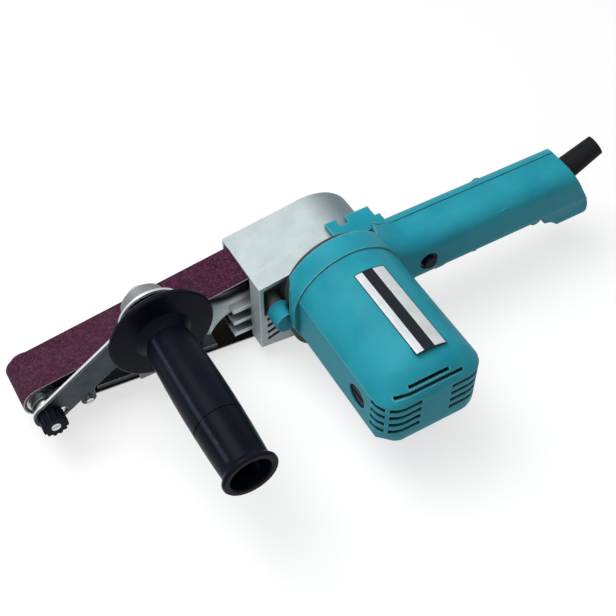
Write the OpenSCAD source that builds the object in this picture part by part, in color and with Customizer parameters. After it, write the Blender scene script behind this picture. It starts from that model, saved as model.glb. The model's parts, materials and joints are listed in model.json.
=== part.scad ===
/* [Belt loop] */
// Length of the endless sanding belt round its loop
belt_len = 533; // [500:1:560]
// Width of the sanding belt
belt_w = 30; // [25:1:32]
// Thickness of the cloth with its grit
belt_t = 1; // [0.6:0.1:1.6]
// Air kept between the belt and what it runs on
belt_gap = 0.15; // [0.1:0.01:0.3]
// Width of both pulley faces
face_w = 29; // [24:1:31]
// Diameter of the nose pulley
idler_d = 22; // [20:0.5:26]
// Diameter of the drive pulley over its rubber
drive_d = 70.5; // [60:0.5:80]
// Thickness of the rubber on the drive pulley
tyre_t = 3; // [2:0.5:5]
// Radial clearance of every plain bore
fit = 0.05; // [0.02:0.01:0.1]

/* [Belt cover] */
// Front edge of the cover before the drive axle
case_front_x = 47.8; // [40.3:0.1:55.3]
// Air between the belt and the inside of the cover
case_gap = 1.9; // [1.5:0.1:4]
// Wall of the cover
case_t = 2; // [1.5:0.1:3]
// Radius of the rounded rear end
case_rear_r = 36.5; // [34:0.5:40]
// Centre of the rounded rear end before the rear of the belt
case_rear_x = 23.7; // [18.7:0.1:28.7]
// Depth of belt left bare below the side walls
case_bare = 7; // [4:0.5:12]
// Lowest corner of the side walls before the drive axle
case_low_x = 15.3; // [5.3:0.1:25.3]
// Rear lower corner below axle level
case_rear_z = 18; // [10:1:24]
// Far face of the cover from the middle of the belt
cover_far_y = 19.5; // [18:0.5:24]
// Seam between cover and gear housing from the middle of the belt
seam_y = 17.5; // [16.5:0.5:20]

/* [Gear housing] */
// Web that carries the drive bearing
web_t = 2.8; // [2:0.1:2.9]
// Open near edge of the housing tray
tray_y = 30.5; // [28:0.5:34]
// Wall of the housing tray
tray_t = 3; // [2:0.5:4]
// Rear end of the housing tray behind the drive axle
tray_rear_x = 35.7; // [29.7:0.1:37.7]
// Wall round a bearing seat
seat_wall = 4; // [3:0.5:6]
// Lip that stops a bearing in its seat
lip = 0.8; // [0.5:0.1:1.5]
// Outside of the gear case round the drive axis
ring_r = 31; // [30:0.5:34]
// Wall of the gear case
ring_t = 3; // [2:0.5:4]
// Outside of the neck round the motor axis
neck_r = 24; // [20:0.5:28]
// Where the neck begins from the middle of the belt
neck_y = 31; // [30.5:0.5:36]
// Room round the pinion
pinion_room_r = 7.4; // [7:0.5:12]
// Motor flange of the housing
flange_r = 33; // [32:0.1:35]
// Thickness of the motor flange
flange_t = 2; // [1.6:0.1:4]
// Rear of the motor flange and rim of the motor bell
bell_y = 42.7; // [41:0.1:46]
// Axis of the flared arm root from the middle of the belt
horn_y = 6; // [2:0.5:10]
// Axis of the flared arm root above axle level
horn_z = 4; // [0:0.5:8]
// Neck radius of the arm root
horn_neck_r = 6.5; // [5:0.5:9]
// Mouth radius of the arm root
horn_mouth_r = 14.5; // [12:0.5:16]
// Mouth of the arm root before the drive axle
horn_mouth_x = 78.3; // [74.3:0.1:84.3]
// Neck of the arm root before the drive axle
horn_neck_x = 57.3; // [54.3:0.1:64.3]
// Ribbed arm root before the belt on the drive pulley
root_rear_x = 3.9; // [1.5:0.1:8]
// Far face of the ribbed arm root from the middle of the belt
root_far_y = 3; // [0:0.5:8]
// Top of the ribbed arm root above axle level
root_top_z = 8; // [4:0.5:14]
// Bottom of the ribbed arm root below axle level
root_low_z = 18; // [10:0.5:20]
// Thickness of a rib
rib_t = 3.2; // [2:0.2:5]
// Thickness of the vented side wall
louver_t = 2; // [1.5:0.1:3]
// Rear end of the vented side wall before the drive axle
louver_x = 20.3; // [14.3:0.1:30.3]
// Top of the vented side wall above axle level
louver_z = 7; // [2:0.5:12]
// Width of a vent slot
louver_w = 3.4; // [2:0.1:4]
// Length of the longest vent slot
louver_len = 17; // [10:0.5:20]
// Spacing of the vent slots
louver_step = 6.6; // [5:0.1:9]
// Front end of the vent slots before the drive axle
louver_start_x = 42.8; // [40.3:0.1:45.3]
// Lowest vent slot below axle level
louver_start_z = 17.5; // [12:0.5:20]

/* [Gear train] */
// Module of the gear pair
gear_module = 1; // [0.8:0.1:1.2]
// Width of the drive gear
gear_w = 9; // [6:0.5:10]
// Near side of the drive gear from the middle of the belt
gear_y = 28.5; // [28:0.5:32]
// Play between the teeth
backlash = 0.16; // [0.1:0.01:0.3]
// Drive shaft and armature shaft at their big bearings
shaft_d = 12; // [10:0.5:14]
// Drive shaft at its small bearing
shaft_tip_d = 8; // [6:0.5:9]
// Outside of the big bearings
big_bearing_d = 28; // [24:1:32]
// Width of the big bearings
big_bearing_w = 8; // [6:0.5:10]
// Outside of the small drive bearing
small_bearing_d = 16; // [13:1:18]
// Width of the small drive bearing
small_bearing_w = 4; // [3:0.5:4]
// Thickness of the bearing plate
plate_t = 4.4; // [4.2:0.1:5]
// Hexagon of the pulley nut
nut_s = 13; // [11:0.5:15]
// Height of the pulley nut
nut_h = 5; // [4:0.5:6]
// Hub of the drive pulley
hub_d = 24; // [20:0.5:30]
// Depth of the pulley face behind its rim
hub_recess = 6; // [3:0.5:8]
// Rim of the drive pulley
rim_t = 4; // [3:0.5:6]
// Holes that lighten the drive pulley
light_d = 12; // [8:0.5:13]

/* [Motor housing] */
// Outside of the motor bell
bell_r = 39.2; // [39:0.5:42]
// Width of the motor bell at its front rim
bell_front_w = 65; // [63.5:0.5:72]
// Crown radius of the motor barrel
barrel_r = 38; // [37:0.5:39]
// Width of the motor barrel over its flats
barrel_w = 70; // [68:0.5:73]
// Shoulder between bell and barrel from the middle of the belt
shoulder_y = 58; // [54:0.5:62]
// End face of the motor from the middle of the belt
motor_end_y = 154; // [150:0.5:158]
// Corner radius of the motor end seen from above
end_corner_r = 15; // [10:0.5:20]
// Upper edge radius of the motor end seen from the side
end_top_r = 30; // [26:0.5:34]
// Lower edge radius of the motor end seen from the side
end_low_r = 30; // [26:0.5:32]
// Ridge round the motor end above the motor axis
ridge_z = 15.5; // [14.5:0.1:16.5]
// Part of both edge radii that the end face cuts off
end_crease = 1; // [0.6:0.1:2]
// Wall of the motor bell
motor_wall = 3; // [2:0.5:4]
// Front wall of the motor bell
mouth_t = 2; // [1.5:0.1:3]
// Opening in the front wall of the motor bell
mouth_r = 31; // [30.5:0.1:31.5]
// Bore of the motor barrel
bore_r = 32; // [30:0.5:33]
// End wall of the motor
end_t = 4; // [3:0.5:6]
// Width of a motor vent slot
vent_w = 3.6; // [2:0.1:4]
// Half width of the bare block between the motor vents
vent_bare = 10; // [8:0.5:14]
// Spacing of the motor vent slots
vent_step = 6.8; // [5:0.1:8]
// Top row of motor vents above the motor axis
vent_top = 13; // [11:0.5:15]
// Length of the motor vents round the corners
vent_wrap = 16; // [12:0.5:18]
// Width of the two slots over the end
crown_vent_w = 2.4; // [2:0.1:3]
// Length of the shorter slot over the end
crown_vent_len = 26; // [20:0.5:30]
// Screw bosses beside the motor bell
boss_r = 8; // [6:0.5:10]
// Screw bosses beside the motor axis
boss_x = 36; // [35:0.5:38]
// Screw bosses below the motor axis
boss_z = 18; // [10:0.5:24]
// Front of the screw bosses from the middle of the belt
boss_y = 33; // [32:0.5:38]
// Radius of the cooling fan
fan_r = 30; // [26:0.5:34]
// Height of the fan blades
fan_h = 9; // [6:0.5:10]
// Rear of the fan disc from the middle of the belt
fan_y = 63; // [60:0.5:66]
// Thickness of the fan disc and blades
fan_disc_t = 2; // [1.5:0.1:3]
// Front of the field core from the middle of the belt
core_y = 80; // [76:0.5:90]
// Length of the field core and armature core
core_len = 32; // [25:0.5:40]
// Gap between armature and field
air_gap = 0.7; // [0.4:0.1:1]
// Diameter of the armature core
armature_d = 33; // [30:0.5:36]
// Radius of a field coil bundle
coil_r = 4.2; // [3:0.1:5]
// Radius of the circle of coil bundles
coil_ring_r = 24.2; // [22:0.1:26]
// Coil bundle beyond the core
coil_over = 5.5; // [4.5:0.5:8]
// Diameter of the commutator
commutator_d = 22; // [18:0.5:24]
// Width of the commutator
commutator_w = 13; // [10:0.5:16]
// Brushes from the middle of the belt
brush_y = 125; // [120:0.5:130]
// Width of a carbon brush
brush_w = 6; // [5:0.5:8]
// Height of a carbon brush
brush_h = 8; // [6:0.5:10]
// Length of a carbon brush
brush_len = 10; // [8:0.5:14]
// Wall of a brush holder
brush_wall = 1.4; // [1:0.1:2]
// Diameter of a brush cap
cap_d = 15.8; // [12:0.1:18]
// Thickness of a brush cap
cap_t = 3.6; // [3:0.1:5]
// Depth of a brush cap below the motor flat
cap_sink = 1; // [0.5:0.1:2]
// Armature shaft at its rear bearing
tail_d = 7; // [6:0.5:9]
// Outside of the rear motor bearing
tail_bearing_d = 19; // [17:0.5:22]
// Width of the rear motor bearing
tail_bearing_w = 6; // [5:0.5:8]

/* [Handle] */
// Width of the handle
handle_w = 35.5; // [30:0.5:40]
// Height of the handle
handle_h = 40; // [36:0.5:46]
// Corner radius of the handle
handle_r = 12; // [8:0.5:16]
// Middle of the handle from the middle of the belt
handle_y = 38.2; // [36:0.1:42]
// Middle of the handle above axle level
handle_z = 26; // [22:0.5:30]
// Front of the handle behind the drive axle
handle_x = 38.7; // [38.2:0.1:43.7]
// Rear of the heel behind the drive axle
handle_end_x = 197.7; // [189.7:0.1:205.7]
// Length of the heel
heel_len = 40; // [30:0.5:50]
// Bottom of the heel below axle level
heel_z = 7; // [3:0.5:12]
// Cheek of the handle before its front, over the flange
cheek = 4.5; // [3:0.1:5]
// Parting plane of the handle from the middle of the belt
part_y = 31.5; // [30:0.5:38]
// Wall of the handle
handle_wall = 2.6; // [2:0.1:4]
// Rear end of the handle hollow behind the drive axle
hollow_end_x = 175.2; // [159.7:0.1:176.7]
// Front of the cover tab behind the drive axle
tab_x = 10.2; // [7.7:0.1:15.7]
// Rear of the cover tab behind the drive axle
tab_rear_x = 45.7; // [41.7:0.1:49.7]
// Rear of the wide part of the tab behind the drive axle
tab_step_x = 42.2; // [39.7:0.1:45.7]
// Far edge of the tab from the middle of the belt
tab_far_y = 11.5; // [10:0.5:14]
// Near edge of the tab from the middle of the belt
tab_near_y = 30; // [27:0.5:30.5]
// Thickness of the tab
tab_t = 3.2; // [2:0.1:3.4]
// Front of the screw notch behind the drive axle
notch_x = 18.2; // [15.7:0.1:23.7]
// Width of the screw notch
notch_w = 6.4; // [4:0.1:12]
// Depth of the screw notch
notch_d = 6; // [4:0.5:10]

/* [Controls and cord] */
// Front of the trigger behind the drive axle
trigger_x = 77.7; // [69.7:0.1:85.7]
// Length of the trigger
trigger_len = 34; // [26:0.5:40]
// Width of the trigger
trigger_w = 13; // [10:0.5:16]
// Trigger below the handle at rest
trigger_out = 9; // [6:0.5:12]
// Trigger inside the handle wall
trigger_in = 5; // [3:0.5:8]
// Stroke of the trigger
trigger_stroke = 5; // [3:0.5:6]
// Clearance round trigger and button
control_gap = 0.3; // [0.2:0.05:0.6]
// Lock button behind the drive axle
lock_x = 62.2; // [57.7:0.1:65.7]
// Lock button above axle level
lock_z = 25; // [20:0.5:30]
// Diameter of the lock button
lock_d = 9; // [7:0.5:12]
// Lock button beyond the handle at rest
lock_out = 2.6; // [2:0.1:4]
// Length of the lock button
lock_len = 10; // [8:0.5:14]
// Rim of the dished seat round the lock button
lock_dish = 2; // [1:0.5:4]
// Length of the switch body
switch_len = 36; // [26:0.5:40]
// Width of the switch body
switch_w = 18; // [14:0.5:22]
// Height of the switch body
switch_h = 20; // [14:0.5:22]
// Root of the cord guard behind the drive axle
guard_x = 182.7; // [179.7:0.1:189.7]
// Root of the cord guard above axle level
guard_z = 32; // [28:0.5:38]
// Root diameter of the cord guard
guard_d = 17; // [14:0.5:19]
// Tip diameter of the cord guard
guard_tip_d = 14.5; // [12:0.5:17]
// Length of the cord guard beyond the handle
guard_len = 28; // [24:0.5:60]
// Length of the cord guard inside the handle
guard_in = 14; // [8:0.5:16]
// Bore for the supply cord
cord_d = 7.6; // [6:0.1:9]
// Thickness of the cord clamp
clamp_t = 4; // [3:0.5:6]

/* [Nose and tension] */
// Diameter of the nose axle
axle_d = 6; // [5:0.5:7]
// Outside of a nose bearing
idler_bearing_d = 19; // [17:0.5:19.5]
// Width of a nose bearing
idler_bearing_w = 6; // [5:0.5:7]
// Air between belt edge and yoke
yoke_gap = 1.2; // [0.8:0.1:2]
// Thickness of the yoke arms
yoke_t = 3; // [2:0.5:4]
// End radius of the yoke arms
yoke_r = 8; // [6:0.5:9]
// Front of the yoke bridge behind the nose axle
yoke_x = 17; // [16:0.5:20]
// Thickness of the yoke bridge
yoke_bridge = 8; // [5:0.5:10]
// Diameter of the tension rod
rod_d = 10; // [8:0.5:12]
// Length of the tension rod
rod_len = 46; // [40:0.5:50]
// Travel of the nose when the belt is changed
slide_travel = 8; // [4:0.5:8]
// Wire of the tension spring
spring_d = 1.8; // [1.2:0.1:2.2]
// Mean radius of the tension spring
spring_r = 7.2; // [6.5:0.1:8]
// Front face of the support arm behind the nose axle
arm_x = 60; // [56:0.5:64]
// Far face of the arm beam from the middle of the belt
beam_far_y = 8; // [6:0.5:10]
// Top of the arm beam above axle level
beam_top_z = 10; // [8:0.5:12]
// Bottom of the arm beam below axle level
beam_low_z = 8; // [6:0.5:9]
// Rear face of the arm post behind the nose axle
post_x = 86; // [84:0.5:92]
// Far face of the arm post from the middle of the belt
post_y = 16.2; // [15.6:0.1:18]
// Hub of the side grip behind the nose axle
hub_x = 73.4; // [70:0.1:78]
// Hub of the side grip above axle level
hub_z = 48.6; // [44:0.1:54]
// Radius of the arm hub
hub_r = 14; // [12:0.5:18]
// Far face of the link plate from the middle of the belt
link_y = 25; // [24:0.5:28]
// Thickness of the link plate
link_t = 3; // [2:0.5:4]
// Width of the link plate
link_w = 20; // [16:0.5:24]
// Round end of the link plate at the hub
link_hub_r = 21; // [18:0.5:24]
// Lug of the tracking lock screw
link_lug_r = 5; // [4:0.5:6]
// Tracking lock screw behind the nose axle
link_lug_x = 25; // [22:0.5:28]
// Tracking lock screw above axle level
link_lug_z = 0.5; // [0.2:0.1:2]
// Diameter of the tracking knob
knob_d = 16; // [14:0.5:20]
// Height of the tracking knob
knob_h = 9; // [7:0.5:12]
// Flutes of the tracking knob
knob_rib_d = 2.4; // [1.6:0.1:3]
// Front of the sanding shoe behind the nose axle
shoe_x = 36; // [34:0.5:44]
// Length of the sanding shoe
shoe_len = 84; // [70:0.5:90]
// Width of the sanding shoe
shoe_w = 28; // [24:0.5:29]
// Thickness of the shoe plate
shoe_t = 2.4; // [2:0.1:4]
// Thickness of the graphite pad under the shoe
pad_t = 2; // [1:0.1:3]
// Length of a shoe leg
leg_len = 10; // [8:0.5:14]
// Width of a shoe leg
leg_w = 14; // [10:0.5:16]

/* [Side grip] */
// Diameter of the hand guard
guard_disc_d = 66; // [60:0.5:72]
// Thickness of the hand guard
guard_disc_t = 3.4; // [2.5:0.1:5]
// Near face of the hand guard from the middle of the belt
guard_disc_y = 42; // [40:0.5:46]
// Diameter of the grip at both ends
grip_d = 28.6; // [26:0.1:32]
// Diameter of the grip at its waist, where the palm lies
grip_waist_d = 31.3; // [28:0.1:34]
// Diameter of the flared rim of the grip
grip_end_d = 33.6; // [30:0.1:38]
// Thickness of the flared rim
grip_rim = 3.4; // [2:0.1:6]
// Width of the groove round the grip
grip_groove = 1.4; // [0.8:0.1:3]
// End of the grip from the middle of the belt
grip_end_y = 151; // [140:0.5:155]
// Collar between guard and link plate
grip_collar_d = 22; // [18:0.5:26]
// Hollow in the grip end
grip_hollow_d = 25; // [18:0.5:26]
// Depth of the hollow in the grip end
grip_hollow = 24; // [10:0.5:30]
// Diameter of the grip stud
stud_d = 10; // [8:0.5:12]
// Length of the stud inside the grip
stud_in = 30; // [20:0.5:40]
// Diameter of the cap nut behind the hub
dome_d = 16.5; // [14:0.5:24]
// Height of the cap nut
dome_h = 9; // [7:0.5:12]

/* [Screws] */
// Diameter of a housing screw
screw_d = 4; // [3:0.5:5]
// Head of a housing screw
screw_head_d = 7.4; // [6:0.1:9]
// Head height of a housing screw
screw_head_h = 2.6; // [2:0.1:4]
// Recess in a screw head
screw_drive_d = 3; // [2:0.1:4]
// Length of a handle screw
handle_screw_len = 16; // [12:0.5:20]
// Post round a handle screw
screw_post_r = 4.5; // [4:0.1:6]

/* [Hidden] */
$fn = 48;

// Counts and angles
gear_teeth = 50;
pinion_teeth = 10;
pressure = 25;
guard_lean = 25;
louver_lean = 20;

// Straight runs of the belt lap into its bends and lie a hair inside their skins
lap_share = 0.3;
skin_share = 0.02;

// The round rear end of the cover stands a hair proud of its flanks
swell_share = 1.004;

// Turns of the oblique sides of the motor end
cheek_turns = [22.5, 45, 67.5];

// Angles of the two slots over the motor end, seen from the centre of its upper edge
crown_vent_turns = [36.3, 28.6];

// Place of the groove along the grip
groove_share = 0.66;

// Overrun of every cut
overrun = belt_t;

// Belt loop: inner radii, centre distance from the belt length, lean of the runs
r1 = idler_d / 2 + belt_gap;
r2 = drive_d / 2 + belt_gap;
n1 = r1 + belt_t / 2;
n2 = r2 + belt_t / 2;
function loop_len(c) = let (s = asin((n2 - n1) / c))
    2 * c * cos(s) + PI * (n1 + n2) + 2 * s * PI / 180 * (n2 - n1);
function solve_c(c, n) = n == 0 ? c : solve_c(c + (belt_len - loop_len(c)) / 2, n - 1);
drive_x = solve_c(belt_len / 3, 24);
lean = asin((r2 - r1) / drive_x);
run_len = sqrt(drive_x * drive_x - (r2 - r1) * (r2 - r1));

// Places along the tool that follow the drive axle
case_front_at = drive_x - case_front_x;
case_low_at = drive_x - case_low_x;
root_rear_at = drive_x - r2 - belt_t - root_rear_x;
horn_mouth_at = drive_x - horn_mouth_x;
horn_neck_at = drive_x - horn_neck_x;
louver_at = drive_x - louver_x;
louver_start_at = drive_x - louver_start_x;
case_rear_at = drive_x + r2 + belt_t - case_rear_x;
tray_rear_at = drive_x + tray_rear_x;
handle_at = drive_x + handle_x;
handle_end_at = drive_x + handle_end_x;
hollow_end_at = drive_x + hollow_end_x;
tab_at = drive_x + tab_x;
tab_rear_at = drive_x + tab_rear_x;
tab_step_at = drive_x + tab_step_x;
notch_at = drive_x + notch_x;
trigger_at = drive_x + trigger_x;
lock_at = drive_x + lock_x;
guard_at = drive_x + guard_x;

// Gear pair
motor_z = gear_module * (gear_teeth + pinion_teeth) / 2;
gear_pitch_r = gear_module * gear_teeth / 2;
pinion_pitch_r = gear_module * pinion_teeth / 2;
add_share = 0.9;
pinion_add_share = 0.95;
ded_share = 1.18;

// Outline of cover and tray
case_out = case_gap + case_t;
function top_z(x, d) = (r1 + belt_t + d) / cos(lean) + x * tan(lean);
case_cz = top_z(case_rear_at, case_out) - case_rear_r / cos(lean);
case_front_z = (r1 + belt_t - case_bare) / cos(lean) + case_front_at * tan(lean);
case_low_z = (r1 + belt_t - case_bare) / cos(lean) + case_low_at * tan(lean);

// Stations across the tool
web_y = seam_y + web_t;
room_y = gear_y - belt_t;
case_end = bell_y - plate_t;
plate_end = bell_y + big_bearing_w + lip / 2;
screw_x = [boss_x, -boss_x];
yoke_in = belt_w / 2 + yoke_gap;
yoke_out = yoke_in + yoke_t;
link_end = link_y + link_t;
knob_end = link_end + control_gap + knob_h;
handle_near = handle_y + handle_w / 2;
handle_far = handle_y - handle_w / 2;
handle_top = handle_z + handle_h / 2;
handle_low = handle_z - handle_h / 2;
link_lean = atan2(hub_z, hub_x);
link_span = sqrt(hub_x * hub_x + hub_z * hub_z);
fork_h = yoke_r * 0.88;
collar_t = yoke_t * 0.7;
spring_x0 = yoke_x + yoke_bridge + collar_t;
end_top_x = handle_end_at - heel_len * 0.53;
end_low_x = handle_end_at - heel_len * 0.05;
heel_h = handle_z + heel_z;
heel_shares = [[0, 0.41], [0.2, 0.39], [0.4, 0.14], [0.6, 0], [0.84, 0], [0.97, 0.1], [1, 0.3],
    [0.97, 0.52], [0.86, 0.78], [0.62, 1], [0, 1]];
grip_y = guard_disc_y + 2.6 * guard_disc_t;
grip_len = grip_end_y - 1.6 * grip_rim - grip_y;
end_mid_y = -motor_end_y + end_top_r - end_crease;
cover_screw_x = drive_x + r2 + belt_t + case_gap + screw_d * 0.9;
cover_screw_zs = [case_cz + case_rear_r * 0.24, case_cz - case_rear_r * 0.36];
handle_screw_spots = [[handle_at + screw_post_r * 2.4, handle_z - handle_h * 0.27],
    [trigger_at + switch_len + screw_post_r + handle_wall, handle_z + handle_h * 0.26],
    [hollow_end_at - screw_post_r * 5.4, handle_z - handle_h * 0.27]];

// Box of the whole tool, which sets the origin
tip_x = guard_at + guard_len * cos(guard_lean) + guard_tip_d / 2 * sin(guard_lean);
mid_x = (tip_x - r1 - belt_t) / 2;
mid_y = (cover_far_y - motor_end_y) / 2;
low_z = -r2 - belt_t;
echo(drive_x = drive_x, lean = lean, motor_z = motor_z, shift = [-mid_x, -mid_y, -low_z], tip_x = tip_x,
    case_cz = case_cz, spring_x0 = spring_x0);

// Frame of the tool: origin under the middle of its box
module place() {
    translate([-mid_x, -mid_y, -low_z]) children();
}

// A drawing in length and height, swept across the tool
module slab_y(y0, y1) {
    translate([0, y1, 0]) rotate([90, 0, 0]) linear_extrude(y1 - y0) children();
}

// A drawing in width and height, swept along the tool
module slab_x(x0, x1) {
    translate([x0, 0, 0]) rotate([90, 0, 90]) linear_extrude(x1 - x0) children();
}

// Round bar across the tool
module rod_y(x, z, r, y0, y1) {
    translate([x, y1, z]) rotate([90, 0, 0]) cylinder(r = r, h = y1 - y0);
}

// Round bar along the tool
module rod_x(y, z, r, x0, x1) {
    translate([x0, y, z]) rotate([0, 90, 0]) cylinder(r = r, h = x1 - x0);
}

// Box between two corners
module block(a, b) {
    translate(a) cube(b - a);
}

// Turned form about a line across the tool
module lathe_y(x, z) {
    translate([x, 0, z]) rotate([90, 0, 0]) rotate_extrude() children();
}

// Rectangle with round corners
module round_rect(w, h, r) {
    square([w - 2 * r, h], center = true);
    square([w, h - 2 * r], center = true);
    for (a = [-1, 1]) for (b = [-1, 1]) translate([a * (w / 2 - r), b * (h / 2 - r)]) circle(r);
}

// Side form of cover and tray: straight flanks and a round rear end
module case_solid(inset, front, drop, y0, y1) {
    r = case_rear_r - inset;
    slab_y(y0, y1) polygon([[front, -case_front_z - drop], [front, top_z(front, case_out - inset)],
        [case_rear_at - r * sin(lean), case_cz + r * cos(lean)], [case_rear_at, case_cz],
        [case_rear_at + r, case_cz], [case_rear_at + r, -case_rear_z - drop],
        [case_low_at, -case_low_z - drop]]);
    slab_y(y0, y1) intersection() {
        translate([case_rear_at, case_cz]) circle(r * swell_share);
        translate([case_rear_at - r * 0.5, case_cz - r * 0.3]) square([2 * r, 2 * r]);
    }
}

// Ring that a ball bearing fills
module bearing(x, z, d, bore, y0, w) {
    difference() {
        rod_y(x, z, d / 2, y0, y0 + w);
        rod_y(x, z, bore / 2 + fit, y0 - overrun, y0 + w + overrun);
        for (y = [y0 - overrun, y0 + w - lip])
            difference() {
                rod_y(x, z, d / 2 - (d - bore) / 8, y, y + lip + overrun);
                rod_y(x, z, bore / 2 + (d - bore) / 8, y - overrun, y + lip + 2 * overrun);
            }
    }
}

// Screw across the tool, head at y, shank running to the near side
module screw(x, z, y, len, d, head_d, head_h) {
    difference() {
        union() {
            rod_y(x, z, head_d / 2, y - head_h, y);
            rod_y(x, z, d / 2, y - head_h - len, y - head_h);
        }
        translate([x, y, z]) rotate([90, 0, 0])
            cylinder(d = screw_drive_d, h = head_h, center = true, $fn = 6);
    }
}

// Room for that screw
module screw_room(x, z, y, len, d, head_d, head_h) {
    rod_y(x, z, head_d / 2 + fit, y - head_h, y + overrun);
    rod_y(x, z, d / 2 + fit, y - head_h - len - overrun, y - head_h + overrun / 2);
}

// Corner cutting that smooths a closed outline
function smooth(p, n) = n == 0 ? p : smooth([for (i = [0:len(p) - 1]) let (a = p[i],
    b = p[(i + 1) % len(p)]) each [a * 0.75 + b * 0.25, a * 0.25 + b * 0.75]], n - 1);

// Involute teeth
function involute(rb, t) = [rb * (cos(t) + t * PI / 180 * sin(t)), rb * (sin(t) - t * PI / 180 * cos(t))];
function turn(p, a) = [p[0] * cos(a) - p[1] * sin(a), p[0] * sin(a) + p[1] * cos(a)];
function flank(rb, rt, half, steps) = [for (i = [0:steps])
    let (t = sqrt(rt * rt / rb / rb - 1) * 180 / PI * sqrt(i / steps))
    turn(involute(rb, t), -half - (tan(pressure) * 180 / PI - pressure))];
function tooth(rp, rr, rt, half) = let (rb = rp * cos(pressure), f = flank(rb, rt, half, 4),
    foot = turn([rr, 0], atan2(f[0][1], f[0][0])))
    concat([foot], f, [for (i = [len(f) - 1:-1:0]) [f[i][0], -f[i][1]]], [[foot[0], -foot[1]]]);
function gear_outline(z, rp, rr, rt) = let (half = 90 / z - backlash / 4 / rp * 180 / PI,
    one = tooth(rp, rr, rt, half)) [for (k = [0:z - 1]) each [for (p = one) turn(p, k * 360 / z)]];

// Wire spring along the tool: one tube on a helix with straight ends
spring_curls = 6;
spring_steps = 8;
wire_sides = 6;
function coil_at(r, x0, x1, d, curls, i) = let (a = i * 360 / spring_steps,
    s = i / spring_steps / curls) [x0 + d / 2 + s * (x1 - x0 - d), r * cos(a), r * sin(a)];
function coil_dir(r, x0, x1, d, curls, i) = let (a = i * 360 / spring_steps,
    v = [(x1 - x0 - d) / curls / 2 / PI, -r * sin(a), r * cos(a)]) v / norm(v);
function coil_path(r, x0, x1, d, curls) = let (n = curls * spring_steps) concat(
    [coil_at(r, x0, x1, d, curls, 0) - [0, 0, d]],
    [for (i = [0:n]) coil_at(r, x0, x1, d, curls, i)],
    [coil_at(r, x0, x1, d, curls, n) + [0, 0, d]]);
function coil_gap(r, x0, x1, d, curls) = let (p = coil_path(r, x0, x1, d, curls))
    min([for (i = [0:len(p) - 1]) for (j = [i + 5:1:len(p) - 1]) norm(p[i] - p[j])]) - d;
module spring(r, x0, x1, d, curls) {
    n = curls * spring_steps;
    path = coil_path(r, x0, x1, d, curls);
    pts = [for (k = [0:len(path) - 1]) let (i = min(max(k - 1, 0), n), t = k == 0 || k == len(path) - 1 ?
        [0, 0, 1] : coil_dir(r, x0, x1, d, curls, i), a = i * 360 / spring_steps,
        e = [0, cos(a), sin(a)], b = cross(t, e) / norm(cross(t, e)))
        each [for (q = [0:wire_sides - 1]) path[k] + d / 2 * (cos(q * 360 / wire_sides) * e
            + sin(q * 360 / wire_sides) * b)]];
    last = (len(path) - 1) * wire_sides;
    polyhedron(pts, concat(
        [for (k = [0:len(path) - 2]) for (q = [0:wire_sides - 1]) let (a = k * wire_sides + q,
            b = k * wire_sides + (q + 1) % wire_sides) each [[a, a + wire_sides, b],
            [b, a + wire_sides, b + wire_sides]]],
        [for (q = [1:wire_sides - 2]) [0, q, q + 1]],
        [for (q = [1:wire_sides - 2]) [last, last + q + 1, last + q]]));
}

// Cast arm that leaves the gear housing inside the belt loop and rises to the hub of the side grip
module cast_arm() {
    flare = [for (i = [0:6]) let (s = i / 6) [horn_neck_r + (horn_mouth_r - horn_neck_r) * (1 - s)
        * (1 - s),
        horn_mouth_at + (horn_neck_at - horn_mouth_at) * s]];
    translate([0, -horn_y, horn_z]) rotate([0, 90, 0]) rotate_extrude() polygon(concat(
        [[0, horn_mouth_at]], flare, [[horn_neck_r, root_rear_at - rib_t], [0, root_rear_at - rib_t]]));
    difference() {
        block([horn_neck_at - rib_t, -seam_y, -root_low_z], [root_rear_at, root_far_y, root_top_z]);
        for (k = [0, 1])
            translate([horn_neck_at - 2 * rib_t, -seam_y - overrun, -root_low_z + rib_t
                + k * (root_low_z + root_top_z - rib_t) / 2])
            cube([root_rear_at - horn_neck_at, seam_y, (root_low_z + root_top_z - 3 * rib_t) / 2]);
    }
    block([arm_x, -horn_y - horn_mouth_r * 0.55, -beam_low_z], [horn_mouth_at + overrun, beam_far_y,
        beam_top_z]);
    block([arm_x, -link_y, -beam_low_z], [post_x, -horn_y, beam_top_z]);
    slab_y(-link_y, -post_y) polygon([[arm_x, -beam_low_z], [post_x, -beam_low_z], [post_x, beam_top_z],
        [hub_x + hub_r * 0.9, hub_z], [hub_x - hub_r * 0.9, hub_z]]);
    rod_y(hub_x, hub_z, hub_r, -link_y, -post_y + tray_t);
}

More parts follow.
